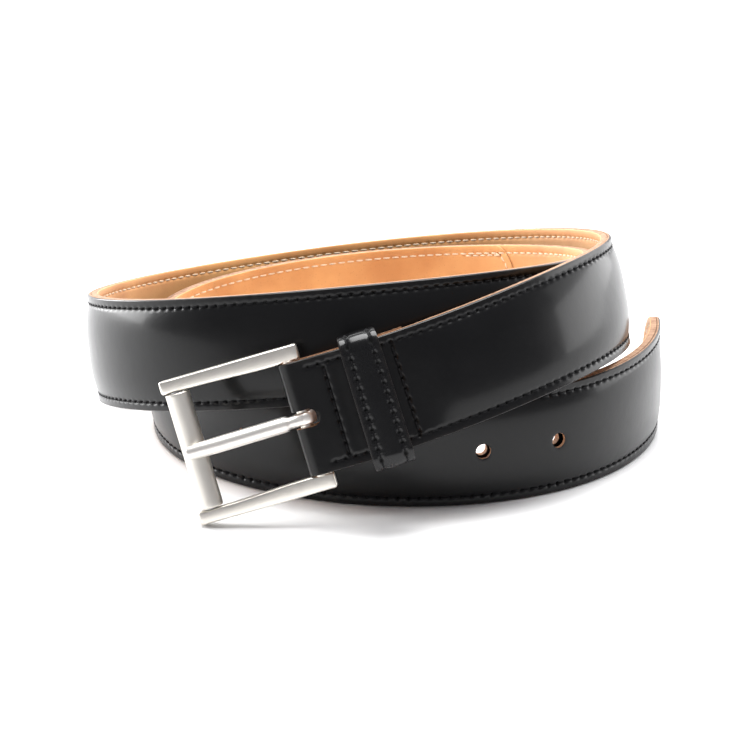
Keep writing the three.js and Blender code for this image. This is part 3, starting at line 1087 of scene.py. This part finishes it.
    def columns(self, half: float, middle: float, step: float = 1.0) -> np.ndarray:
        """Places across the strap, closer at the seams and over the holes.

        Args:
            half: the outermost place.
            middle: half the width of the close middle part.
            step: from one place to the next where nothing is sewn.

        Returns:
            The places.
        """
        seam = self.seam_across
        sewn = seam + np.array([-1.6, -1.2, -0.85, -0.55, -0.28, 0, 0.28, 0.55, 0.85, 1.2, 1.6])
        plain = np.arange(middle, seam - 2, step)
        side = np.concatenate([np.arange(0.4, middle, 0.4), plain, sewn, [half]])
        return np.concatenate([-side[::-1], [0], side])

    def section(
        self,
        line: Line,
        share: np.ndarray,
        columns: np.ndarray,
        outer: np.ndarray,
        inner: np.ndarray,
        round_by: float,
    ) -> tuple[np.ndarray, np.ndarray]:
        """Closed rings round a layer.

        Args:
            line: the strap at each row.
            share: share of the full width at each row.
            columns: places across the outer side, as far as the rounding.
            outer: depth of the outer side, (rows, columns).
            inner: depth of the inner side at five places, (rows, 5).
            round_by: how far the outer side's edges are rounded.

        Returns:
            The rings, and each strip's Zone.
        """
        sign = np.sign(outer[:, :1] - inner[:, :1])
        wide = self.half * share[:, None]
        across = columns[None] * share[:, None]
        last, first = outer[:, -1:], outer[:, :1]
        inner_across = np.array([1, 0.5, 0, -0.5, -1])[None] * wide
        soft = round_by * share[:, None]
        rings_across = np.concatenate(
            [across, wide - 0.3 * soft, wide, inner_across, -wide, -wide + 0.3 * soft], 1
        )
        after = [last - sign * 0.3 * soft, last - sign * soft]
        before = [first - sign * soft, first - sign * 0.3 * soft]
        rings_depth = np.concatenate([outer, *after, inner, *before], 1)
        count = len(columns)
        zones = np.zeros(rings_across.shape[1], int)
        zones[count + 1] = Zone.EDGE
        zones[count + 2 : count + 6] = Zone.INNER
        zones[count + 6] = Zone.EDGE
        return line.at(rings_across, rings_depth), zones

    def face_rings(self) -> Skin:
        """The face leather, from the turned-back end round the bar to the tip.

        Returns:
            The closed skin.
        """
        columns = self.columns(self.half - 0.35, 4.4, 0.5)
        front = self.distances()
        front = front[front > 0]
        line = self.route.line(front)
        grid_s = np.repeat(front[:, None], len(columns), 1)
        share = self.tip_share(front)
        grid_a = columns[None] * share[:, None]
        outer = self.outer + self.crown_at(grid_s, grid_a)
        # needle holes of the face seams, marked for the shade painted into them
        pit = sum(seam.pit_shades(grid_s, grid_a) for seam in (self.edge_seam, *self.cross_seams))
        outer -= self.edge_seam.press(grid_s, grid_a, *self.edge_press)
        for seam in self.cross_seams:
            outer -= seam.press(grid_s, grid_a, *self.chape_press)
        for at in self.holes:
            ring = np.hypot(grid_s - at, grid_a) - self.hole_radius
            outer -= self.hole_sink * np.exp(-np.maximum(ring, 0) / 0.45)
        crease = self.crease_depth * np.exp(-((grid_s - self.crease_at) ** 2))
        outer -= crease * (np.abs(grid_a) < self.half - 1)
        inner_a = np.array([1, 0.5, 0, -0.5, -1])[None] * self.half * share[:, None]
        inner = self.glue / 2 + self.crown_at(np.repeat(front[:, None], 5, 1), inner_a)
        front_rings, zones = self.section(line, share, columns, outer, inner, self.face_soft)

        middle, run, up, face = self.route.square
        centre = middle + self.route.shift + face * self.bar_depth
        turn = np.linspace(math.pi * 1.5, math.pi / 2, 19)
        away = run[None] * np.cos(turn)[:, None] + face[None] * np.sin(turn)[:, None]
        bend = Line(centre - away * self.bar_depth, np.repeat(up[None], len(turn), 0), away)
        flat = np.full((len(turn), len(columns)), self.outer)
        bend_rings, _ = self.section(
            bend, np.ones(len(turn)), columns, flat, np.full((len(turn), 5), self.glue / 2), self.face_soft
        )

        back = front[front < self.turnback - 0.3][::-1]
        back = np.concatenate([[self.turnback], back])
        behind = self.route.line(back)
        sunk = behind.middle + behind.face * (self.turnback_depth + self.glue / 2)
        behind = Line(sunk, behind.up, -behind.face)
        grid_s = np.repeat(back[:, None], len(columns), 1)
        outer_back = np.full(grid_s.shape, self.outer)
        for seam in self.cross_seams:
            outer_back -= seam.press(grid_s, np.repeat(columns[None], len(back), 0), *self.back_press)
        glued = np.full((len(back), 5), self.glue / 2)
        back_rings, _ = self.section(
            behind, np.ones(len(back)), columns, outer_back, glued, self.face_soft
        )
        rings = np.concatenate([back_rings, bend_rings, front_rings])
        edge = 0.9 * np.exp(-(self.half - np.abs(columns)) / 0.5)
        around = np.concatenate([edge, np.ones(9)])
        wear = np.repeat(around[None], len(rings), 0)
        wear[: len(back_rings) + len(bend_rings)] += 0.12
        pit_shades = np.zeros(wear.shape)
        pit_shades[len(back_rings) + len(bend_rings) :, : len(columns)] = pit
        return Skin(rings, zones, marks={"wear": wear, "pit": pit_shades})

    def lining_rings(
        self, start: float, end: float, outer_of: Along, inner_of: Depth, share_of: Along
    ) -> Skin:
        """One length of lining, sewn along its edges.

        Args:
            start: distance where it begins.
            end: distance where it ends.
            outer_of: depth of the glued side at distances.
            inner_of: depth of the open side at a grid of distances and places across.
            share_of: share of the full width at distances.

        Returns:
            The closed skin.
        """
        rows = self.distances([start, self.lap_at, self.lap_at + 0.3, end])
        turn = np.linspace(0.2, 1.55, 24)
        rows = np.unique(np.concatenate([rows, start + self.lap_round * (1 - np.cos(turn))]))
        rows = rows[(rows >= start) & (rows <= end)]
        columns = self.columns(self.half - 0.3, 4.4)
        share = share_of(rows) * self.tip_share(rows)
        grid_s = np.repeat(rows[:, None], len(columns), 1)
        grid_a = columns[None] * share[:, None]
        open_side = inner_of(grid_s, grid_a)
        open_side = open_side + self.lining_seam.press(grid_s, grid_a, *self.lining_press)
        for seam in (self.lap_seam, self.back_tack):
            open_side += seam.press(grid_s, grid_a, *self.lap_press)
        for at in self.holes:
            ring = np.hypot(grid_s - at, grid_a) - self.hole_radius
            open_side += self.lining_sink * np.exp(-np.maximum(ring, 0) / 0.5)
        glued = np.repeat(outer_of(rows)[:, None], 5, 1)
        line = self.route.line(rows)
        rings, zones = self.section(line, share, columns, open_side, glued, self.lining_soft)
        return Skin(rings, zones)

    def buckle_lining(self) -> bpy.types.Object:
        """The lining's buckle length, skived thin in the chape.

        Returns:
            The piece.
        """
        start, end = self.lining_start, self.lap_at
        full = self.turnback + 1

        def open_depth(distance: np.ndarray, across: np.ndarray) -> np.ndarray:
            """Depth of the open side.

            Args:
                distance: places along the strap.
                across: places across it; not used.

            Returns:
                The depth at each place.
            """
            thick = smoothstep(distance, full, full + 11)
            depth = -self.glue / 2 - self.chape_lining
            depth = depth + (self.lining_in + self.glue / 2 + self.chape_lining) * thick
            under = smoothstep(distance, self.lap_at - self.lap_length + self.lap_round, self.lap_at - 3)
            return depth + 0.28 * under

        skin = self.lining_rings(
            start, end, lambda s: np.full(s.shape, -self.glue / 2), open_depth, lambda s: np.ones(s.shape)
        )
        return build("lining_by_buckle", [skin], [Coat.LINING, Coat.PALE_EDGE, Coat.LINING], Zone.EDGE)

    def tip_lining(self) -> bpy.types.Object:
        """The lining's tip length, whose rounded end laps over the buckle length.

        Returns:
            The piece.
        """
        start = self.lap_at - self.lap_length

        def glued_depth(distance: np.ndarray) -> np.ndarray:
            """Depth of the glued side, thin over the lap."""
            thin = 1 - smoothstep(distance, self.lap_at, self.lap_at + 0.3)
            return -self.glue / 2 + (self.lining_in + 0.3 + self.glue / 2) * thin

        def open_depth(distance: np.ndarray, across: np.ndarray) -> np.ndarray:
            """Depth of the open side, a little proud over the lap."""
            fade = 1 - smoothstep(distance, self.lap_at, self.lap_at + 40)
            return self.lining_in - self.lap_rise * fade

        def lap_share(distance: np.ndarray) -> np.ndarray:
            """Share of the full width as the lapped end rounds off."""
            left = np.clip(1 - (distance - start) / self.lap_round, 0, 1)
            return np.sqrt(np.maximum(0.01, 1 - left**2))

        skin = self.lining_rings(start + 0.05, self.length, glued_depth, open_depth, lap_share)
        return build("lining_by_tip", [skin], [Coat.LINING, Coat.PALE_EDGE, Coat.LINING], Zone.EDGE)

    def plugs(self, radius: float) -> bpy.types.Object:
        """What the hole punch takes out.

        Args:
            radius: the punch's radius.

        Returns:
            The cutter.
        """
        skins = []
        turn = np.linspace(0, 2 * math.pi, 40, endpoint=False)
        for at in self.holes:
            line = self.route.line([at])
            run = np.cross(line.up, line.face)[0]
            ring = run[None] * np.cos(turn)[:, None] + line.up * np.sin(turn)[:, None]
            rings = [line.middle + line.face * depth + ring * radius for depth in (-6, 6)]
            skins.append(Skin(np.array(rings)))
        return build("plugs", skins, [Coat.CALF, Coat.TAN_EDGE], Zone.EDGE)

    def slot(self) -> bpy.types.Object:
        """What is cut from the fold for the prong.

        Returns:
            The cutter.
        """
        middle, run, up, face = self.route.square
        middle = middle + self.route.shift
        half = self.slot_width / 2
        outline = rounded_outline(
            [(-9, -half), (self.slot_past_bar, -half), (self.slot_past_bar, half), (-9, half)],
            [0.5, half - 0.02, half - 0.02, 0.5],
            10,
        )
        flat = middle + run * outline[:, :1] + up * outline[:, 1:]
        skin = Skin(np.array([flat + face * depth for depth in (-9, 9)]))
        return build("slot", [skin], [Coat.CALF, Coat.TAN_EDGE], Zone.EDGE)

    def punch(self, piece: bpy.types.Object, cutter: bpy.types.Object) -> None:
        """Cuts through a piece, and shows the cut leather as a raw edge.

        Args:
            piece: the leather.
            cutter: what is taken out of it.
        """
        for polygon in cutter.data.polygons:
            polygon.material_index = Zone.EDGE
        combine(piece, cutter, Fit.CUT)

    def dress(self) -> list[tuple[bpy.types.Object, str, list[str]]]:
        """Builds every piece of the strap.

        Returns:
            Each piece, its material slot and the nodes that it stands for.
        """
        leathers = [Coat.CALF, Coat.PALE_EDGE, Coat.TAN_EDGE]
        face = build("strap_face", [self.face_rings()], leathers, Zone.EDGE)
        for cutter in (self.slot(), self.plugs(self.hole_radius)):
            self.punch(face, cutter)
        tip = self.tip_lining()
        self.punch(tip, self.plugs(self.hole_radius - 0.4))
        black, pale = [Coat.BLACK_THREAD], [Coat.PALE_THREAD]
        lap = self.lap_seam.skins(self.lining_surface) + self.back_tack.skins(self.lining_surface)
        pieces = [
            (face, "face_leather", ["outer_strap", "crown_filler"]),
            (self.buckle_lining(), "lining_leather", ["lining_buckle_length"]),
            (tip, "lining_leather", ["lining_tip_length"]),
            (
                build("edge_stitches_face", self.edge_seam.skins(self.face_surface), black),
                "black_thread",
                ["edge_needle_thread"],
            ),
            (
                build("edge_stitches_lining", self.lining_seam.skins(self.lining_surface), pale),
                "natural_thread",
                ["edge_bobbin_thread"],
            ),
            (build("lap_stitches", lap, pale), "natural_thread", ["lap_thread"]),
        ]
        for side, seam in zip(("heel", "keeper"), self.cross_seams):
            front = build(f"chape_stitches_front_{side}", seam.skins(self.face_surface, rise=0.02), black)
            back = build(f"chape_stitches_back_{side}", seam.skins(self.turnback_surface, rise=0.02), black)
            pieces.append((front, "black_thread", [f"chape_needle_thread_{side}"]))
            pieces.append((back, "black_thread", [f"chape_bobbin_thread_{side}"]))
        return pieces


# ------------------------------------------------------------------ keeper


@dataclass
class Keeper:
    """The sewn loop that holds the strap's tip down."""

    strap: Strap
    start: float = 16.7
    width: float = 11.2
    leather: float = 1.1
    liner: float = 0.8
    back: float = -1.55
    room: float = 5.2
    above: float = 1.6
    seam_inset: float = 2.3
    butt: float = 0.8

    def loop(self) -> np.ndarray:
        """The inner line of the loop, from one butted end to the other.

        Returns:
            Points as (across, depth).
        """
        side = self.strap.half + self.above * 0.85
        front = self.strap.outer + self.room
        corners = [(side, self.back), (side + 0.2, 2.4), (side - 0.3, front), (0, front + 0.25)]
        corners += [(0.3 - side, front), (-side - 0.2, 2.4), (-side, self.back)]
        outline = rounded_outline(corners, [0.9, 4, 3.1, 60, 2.4, 5, 0.9], 10)
        ends = [(self.butt / 2, self.back)], [(-self.butt / 2, self.back)]
        path = np.concatenate([ends[0], outline, ends[1]])
        steps = np.linalg.norm(np.diff(path, axis=0), axis=1)
        along = np.concatenate([[0], np.cumsum(steps)])
        spots = np.linspace(0, along[-1], 560)
        return np.stack([np.interp(spots, along, path[:, k]) for k in range(2)], 1)

    def normals(self, path: np.ndarray) -> np.ndarray:
        """Which way is out of the loop at each point."""
        ahead = unit(np.gradient(path, axis=0))
        return np.stack([ahead[:, 1], -ahead[:, 0]], 1)

    def band(self, inner: float, outer: np.ndarray, places: np.ndarray) -> np.ndarray:
        """Rings round the band.

        Args:
            inner: offset of the inner side from the loop's line.
            outer: offsets of the outer side, (points, places).
            places: distances of the outer side's columns.

        Returns:
            The rings.
        """
        path = self.loop()
        out = self.normals(path)
        low, high = places[0], places[-1]
        after = [high + 0.25, high + 0.3, high + 0.3]
        before = [low - 0.3, low - 0.3, low - 0.25]
        along = np.concatenate([places, [*after, (low + high) / 2, *before]])
        last, first = outer[:, -1:], outer[:, :1]
        count = len(path)
        flat = np.full((count, 1), inner)
        offsets = np.concatenate(
            [outer, last - 0.08, last - 0.35, flat, flat, flat, first - 0.35, first - 0.08], 1
        )
        across = path[:, :1] + out[:, :1] * offsets
        depth = path[:, 1:] + out[:, 1:] * offsets
        line = self.strap.route.line(along)
        return line.middle[None] + line.up[None] * across[..., None] + line.face[None] * depth[..., None]

    def dress(self) -> list[tuple[bpy.types.Object, str, list[str]]]:
        """Builds the keeper's leather, liner and stitches.

        Returns:
            Each piece, its material slot and the nodes that it stands for.
        """
        end = self.start + self.width
        rows = [self.start + self.seam_inset, end - self.seam_inset]
        places = np.arange(self.start + 0.3, end - 0.29, 0.25)
        path = self.loop()
        steps = np.concatenate([[0], np.cumsum(np.linalg.norm(np.diff(path, axis=0), axis=1))])
        total = self.liner + self.leather
        grid_u = np.repeat(steps[:, None], len(places), 1)
        grid_s = np.repeat(places[None], len(path), 0)
        outer = np.full(grid_s.shape, total)
        inside = (grid_s > rows[0]) & (grid_s < rows[1])
        span = np.sin(math.pi * np.clip((grid_s - rows[0]) / (rows[1] - rows[0]), 0, 1))
        outer += 0.16 * span * inside
        # needle holes of the keeper seams, marked for the shade painted into them
        pit = np.zeros(grid_s.shape)
        first, last = steps[-1] * 0.235, steps[-1] * 0.765
        skins = []
        out = self.normals(path)

        def surface(along: np.ndarray, place: np.ndarray) -> tuple[np.ndarray, np.ndarray]:
            """The keeper's outside.

            Args:
                along: places round the loop.
                place: places along the strap.

            Returns:
                Points on it and their normals.
            """
            spot = np.stack([np.interp(along, steps, path[:, k]) for k in range(2)], 1)
            away = unit(np.stack([np.interp(along, steps, out[:, k]) for k in range(2)], 1))
            spot = spot + away * total
            line = self.strap.route.line(place)
            points = line.middle + line.up * spot[:, :1] + line.face * spot[:, 1:]
            return points, unit(line.up * away[:, :1] + line.face * away[:, 1:])

        for row in rows:
            seam = Seam(np.array([(first, row), (last, row)]), 3.0)
            outer -= seam.press(grid_u, grid_s, 0.20, 0.42)
            pit += seam.pit_shades(grid_u, grid_s)
            skins.append(seam.skins(surface, rise=-0.06))
        count = len(places)
        zones = np.zeros(count + 7, int)
        zones[[count + 1, count + 4]] = Zone.EDGE
        zones[count + 2 : count + 4] = Zone.INNER
        rings = self.band(self.liner + 0.02, outer, places)
        wear = np.concatenate([np.exp(-np.minimum(places - self.start, end - places) / 0.4), np.ones(7)])
        pit_shades = np.concatenate([pit, np.zeros((len(rings), 7))], 1)
        skin = Skin(rings, zones, marks={"wear": np.repeat(wear[None], len(rings), 0), "pit": pit_shades})
        leathers = [Coat.GLAZED_CALF, Coat.PALE_EDGE, Coat.TAN_EDGE]
        leather = build("keeper_outside", [skin], leathers, Zone.EDGE)
        liner_rings = self.band(0.0, np.full(grid_s.shape, self.liner), places)
        liner = build("keeper_inside", [Skin(liner_rings)], [Coat.LINING])
        pieces = [
            (leather, "keeper_leather", ["keeper_leather"]),
            (liner, "keeper_liner", ["keeper_lining"]),
        ]
        for side, stitches in zip(("left", "right"), skins):
            piece = build(f"keeper_stitches_{side}", stitches, [Coat.BLACK_THREAD])
            pieces.append((piece, "black_thread", [f"keeper_thread_{side}"]))
        return pieces


# ------------------------------------------------------------------ buckle


@dataclass
class Buckle:
    """Frame, roller on its bar, and prong, drawn round the heel bar.

    In its own axes x runs from the bar towards the strap, y up along the bar and z out of
    the face.
    """

    place: np.ndarray
    axes: np.ndarray
    inside: float = 37
    arm_width: float = 4.1
    arm_thickness: float = 4.6
    reach: float = 35
    past_roller: float = 4.5
    past_bar: float = 3.8
    bar_radius: float = 2
    roller_radius: float = 3.75
    roller_gap: float = 0.4
    pin_radius: float = 1.75
    prong_width: float = 4.9
    prong_neck: float = 3.7
    prong_neck_length: float = 4.9
    prong_past_roller: float = 2.4
    eye_wall: float = 1.3
    rest_gap: float = 0.3
    clearance: float = 0.3
    boss: float = 0.93

    def put(self, points: np.ndarray) -> np.ndarray:
        """Moves points from the buckle's axes to the belt's."""
        return self.place + points @ self.axes

    def turned(self, profile: np.ndarray, x: float = 0, sides: int = 64) -> Skin:
        """A form turned round the y axis.

        Args:
            profile: (radius, y) points in order.
            x: where the axis stands.
            sides: sides of the round.

        Returns:
            The closed skin.
        """
        turn = np.linspace(0, 2 * math.pi, sides, endpoint=False)
        rings = [
            np.stack([x + r * np.cos(turn), np.full(sides, y), r * np.sin(turn)], 1) for r, y in profile
        ]
        return Skin(self.put(np.array(rings)))

    def rod(self, radius: float, length: float, x: float = 0, soft: float = 0.15) -> Skin:
        """A round bar along the y axis, with its ends softened.

        Args:
            radius: its radius.
            length: its length.
            x: where its axis stands.
            soft: how far its ends are softened.

        Returns:
            The closed skin.
        """
        half = length / 2
        lower = [(radius - soft, -half), (radius, soft - half)]
        upper = [(radius, half - soft), (radius - soft, half)]
        return self.turned(np.array(lower + upper), x)

    def arm(self, side: int) -> Skin:
        """A side bar, squared with soft corners, a little slimmer at the heel.

        Args:
            side: 1 for the upper bar and -1 for the lower.

        Returns:
            The closed skin.
        """
        left, right = -self.reach - self.past_roller, self.past_bar
        soft = 0.75
        turn = np.linspace(0, math.pi / 2, 6)
        ends = [(left + soft * (1 - math.sin(t)), soft * (1 - math.cos(t))) for t in turn[::-1]]
        middle = [(x, 0.0) for x in np.linspace(left + 2, right - 2, 28)]
        others = [(right - soft * (1 - math.sin(t)), soft * (1 - math.cos(t))) for t in turn]
        rings = []
        for x, drop in [*ends, *middle, *others]:
            share = (x - left) / (right - left)
            half_y = self.arm_width / 2 - 0.25 * max(0, share - 0.75) - drop
            half_z = self.arm_thickness / 2 - 0.7 * share**2 - drop
            corner = min(soft, half_y * 0.9, half_z * 0.9)
            outline = rounded_outline(
                [(-half_y, -half_z), (half_y, -half_z), (half_y, half_z), (-half_y, half_z)],
                [corner] * 4,
                4,
            )
            inward = self.boss * float(smoothstep(x, -31, -3)) * (outline[:, 0] * side < 0)
            y = side * (self.inside + self.arm_width) / 2 + outline[:, 0] - side * inward
            rings.append(np.stack([np.full(len(outline), x), y, outline[:, 1]], 1))
        return Skin(self.put(np.array(rings)))

    def frame(self) -> bpy.types.Object:
        """The two arms and the heel bar, one casting.

        Returns:
            The piece.
        """
        piece = build("buckle_body", [self.arm(-1)], [Coat.FRAME_NICKEL])
        for skin in (self.arm(1), self.rod(self.bar_radius, self.inside - 1, soft=0.02)):
            combine(piece, build("part", [skin], [Coat.FRAME_NICKEL]), Fit.JOIN)
        return piece

    def roller(self) -> bpy.types.Object:
        """The turned tube that the strap runs over.

        Returns:
            The piece.
        """
        half = self.inside / 2 - self.roller_gap
        bore = self.pin_radius + 0.6
        outer = self.roller_radius
        turn = np.linspace(0, math.pi / 2, 5)
        soft = 0.45
        end = [(outer - soft * (1 - math.sin(t)), half - soft * (1 - math.cos(t))) for t in turn]
        long = [(outer, y) for y in np.linspace(half - 1.2, 1.2 - half, 12)]
        profile = [(bore, half), *end, *long, *[(r, -y) for r, y in reversed(end)], (bore, -half)]
        skin = self.turned(np.array(profile), -self.reach, 96)
        skin.closed = True
        return build("roller_tube", [skin], [Coat.ROLLER_NICKEL])

    def prong(self) -> bpy.types.Object:
        """The round prong on its eye, resting on the roller.

        Returns:
            The piece.
        """
        bore = self.bar_radius + self.clearance
        eye_radius = bore + self.eye_wall
        half = self.prong_neck / 2 + 0.05
        bend = np.linspace(0, math.pi, 15)
        profile = [(bore + self.eye_wall * math.sin(t) ** 0.6, half * math.cos(t)) for t in bend]
        eye = self.turned(np.array(profile), 0, 48)
        eye.closed = True
        wide, neck = self.prong_width / 2, self.prong_neck / 2
        length = self.reach + self.prong_past_roller
        start = eye_radius - neck
        rest = self.roller_radius + self.rest_gap + wide * 0.88
        slope = math.atan2(rest - start, self.reach)
        stations = [
            (0.2, neck * 0.9, neck * 0.9),
            (0.6, neck, neck),
            (self.prong_neck_length - 0.6, neck, neck * 0.97),
            (self.prong_neck_length, neck * 1.08, neck),
            (self.prong_neck_length + 0.45, wide * 0.95, wide * 0.9),
            (self.prong_neck_length + 1.1, wide, wide * 0.97),
            *[(x, wide, wide * 0.97) for x in np.linspace(10, length * 0.72, 10)],
            *[
                (length * (0.72 + 0.24 * t), wide * (1 - 0.16 * t**1.6), wide * (0.97 - 0.22 * t**1.4))
                for t in (0.2, 0.4, 0.6, 0.8, 1.0)
            ],
        ]
        end_x, end_w, end_h = stations[-1]
        for t in np.linspace(0.15, 1, 7) * math.pi / 2:
            x = end_x + (length - end_x) * math.sin(t)
            left = math.cos(t) ** 0.8
            stations.append((x, max(0.2, end_w * left), max(0.2, end_h * left)))
        sides = 48
        around = np.linspace(0, 2 * math.pi, sides, endpoint=False)
        cos, sin = math.cos(slope), math.sin(slope)
        rings = []
        for x, w, h in stations:
            dip = 0.45 * smoothstep(x, length * 0.8, length)
            ahead, beside, over = np.full(sides, -x), w * np.cos(around), h * np.sin(around) - dip
            rings.append(np.stack([ahead * cos + over * sin, beside, start - ahead * sin + over * cos], 1))
        piece = build("prong_shaft", [Skin(self.put(np.array(rings)))], [Coat.PRONG_NICKEL])
        drill = self.rod(bore + 0.01, self.prong_width + 3, soft=0.02)
        combine(piece, build("part", [drill], [Coat.PRONG_NICKEL]), Fit.CUT)
        combine(piece, build("part", [eye], [Coat.PRONG_NICKEL]), Fit.JOIN)
        return piece

    def dress(self) -> list[tuple[bpy.types.Object, str, list[str], str]]:
        """Builds the buckle's pieces.

        Returns:
            Each piece, its material slot, the nodes that it stands for and its body.
        """
        pin = build("roller_pin", [self.rod(self.pin_radius, self.inside + 3, -self.reach)], [Coat.STEEL])
        return [
            (self.frame(), "satin_nickel", ["buckle_frame"], "buckle"),
            (pin, "steel_pin", ["roller_bar"], "buckle"),
            (self.roller(), "roller_nickel", ["roller"], "roller"),
            (self.prong(), "prong_nickel", ["prong"], "prong"),
        ]


# ------------------------------------------------------------------ studio


@dataclass
class Softbox:
    """A large soft light that looks at a point."""

    name: str
    place: tuple[float, float, float]
    target: tuple[float, float, float]
    size: tuple[float, float]
    brightness: float
    colour: tuple[float, float, float] = (1, 1, 1)

    def build(self) -> None:
        """Adds the light; brightness is its radiance."""
        light = bpy.data.lights.new(self.name, "AREA")
        light.shape = "RECTANGLE"
        light.size, light.size_y = self.size
        light.energy = self.brightness * self.size[0] * self.size[1] * math.pi
        light.color = self.colour
        lamp = bpy.data.objects.new(self.name, light)
        lamp.location = self.place
        lamp.rotation_euler = (Vector(self.target) - Vector(self.place)).to_track_quat("-Z", "Y").to_euler()
        bpy.context.scene.collection.objects.link(lamp)


@dataclass
class Studio:
    """A pale table, soft light and the camera."""

    azimuth: float = 1.92
    elevation: float = 17.49
    distance: float = 0.9614
    target: tuple[float, float, float] = (-0.00097, 0.00477, 0.0198)
    lens: float = 140.1
    sensor: float = 36
    table_half: float = 6.0
    table_drop: float = 0.0002
    room: tuple[float, float, float, float] = (0.14, 0.14, 0.15, 1)
    room_strength: float = 2.2

    def floor(self) -> None:
        """A wide pale table top."""
        board = Board("table_paint")
        tone = board.mix(board.noise(40, 2), (0.80, 0.80, 0.80), (0.78, 0.78, 0.78))
        board.set(Base_Color=tone, Roughness=0.85, Specular_IOR_Level=0.1)
        mesh = bpy.data.meshes.new("table_top")
        half, low = self.table_half, -self.table_drop
        corners = [(-half, -half, low), (half, -half, low), (half, half, low), (-half, half, low)]
        mesh.from_pydata(corners, [], [(0, 1, 2, 3)])
        mesh.materials.append(board.material)
        table = bpy.data.objects.new("table_top", mesh)
        bpy.context.scene.collection.objects.link(table)

    def lights(self) -> None:
        """Boxes at the sides, overhead and behind, and a dim room."""
        world = bpy.data.worlds.new("studio")
        world.use_nodes = True
        background = world.node_tree.nodes["Background"]
        background.inputs["Color"].default_value = self.room
        background.inputs["Strength"].default_value = self.room_strength
        bpy.context.scene.world = world
        for box in (
            Softbox("overhead", (0, 0.12, 1.1), (0, 0, 0), (0.95, 0.85), 12.5),
            Softbox("left", (-1.05, 0.72, 0.31), (0, 0, 0.03), (1.3, 0.6), 11.5),
            Softbox("right", (1.12, 0.55, 0.20), (0, 0, 0.03), (1.3, 0.38), 4.4),
            Softbox("right_high", (1.12, 0.60, 0.62), (0, 0, 0.03), (1.3, 0.42), 1.3),
            Softbox("back", (0, 1.9, 0.85), (0, 0, 0), (3.6, 1.2), 2.3),
        ):
            box.build()

    def camera(self) -> None:
        """A long lens, a little above the belt."""
        lens = bpy.data.cameras.new("camera")
        lens.lens, lens.sensor_width = self.lens, self.sensor
        lens.clip_start, lens.clip_end = 0.05, 50
        camera = bpy.data.objects.new("camera", lens)
        turn, tilt = math.radians(self.azimuth), math.radians(self.elevation)
        ahead = Vector((math.sin(turn) * math.cos(tilt), math.cos(turn) * math.cos(tilt), -math.sin(tilt)))
        camera.location = Vector(self.target) - ahead * self.distance
        camera.rotation_euler = ahead.to_track_quat("-Z", "Y").to_euler()
        bpy.context.scene.collection.objects.link(camera)
        bpy.context.scene.camera = camera

    def build(self) -> None:
        """Sets up the whole studio."""
        self.camera()
        self.floor()
        self.lights()
        bpy.context.scene.view_settings.view_transform = "Standard"


def main() -> None:
    """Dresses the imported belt, piece by piece."""
    logging.basicConfig(level=logging.INFO, format="%(message)s")
    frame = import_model()
    Studio().build()
    joints = {joint["name"]: joint for joint in frame["joints"]}
    bar = np.array(joints["buckle_swing"]["pos_m"]) / MM
    roller = np.array(joints["roller_spin"]["pos_m"]) / MM
    up = unit(np.array(joints["buckle_swing"]["axis"], float))
    along = unit(bar - roller)
    axes = np.array([along, up, np.cross(along, up)])

    route = Route()
    middle, _, _, face = route.square
    route.shift = bar - (middle + face * Strap.bar_depth)
    strap = Strap(route)
    pieces = [(*row, "belt") for row in strap.dress() + Keeper(strap).dress()]
    pieces += Buckle(bar, axes).dress()
    for piece, slot, nodes, body in pieces:
        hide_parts(*nodes)
        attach(piece, body)
        LOG.info("%s: %d faces, rides on %s", piece.name, len(piece.data.polygons), body)


if __name__ == "__main__":
    main()
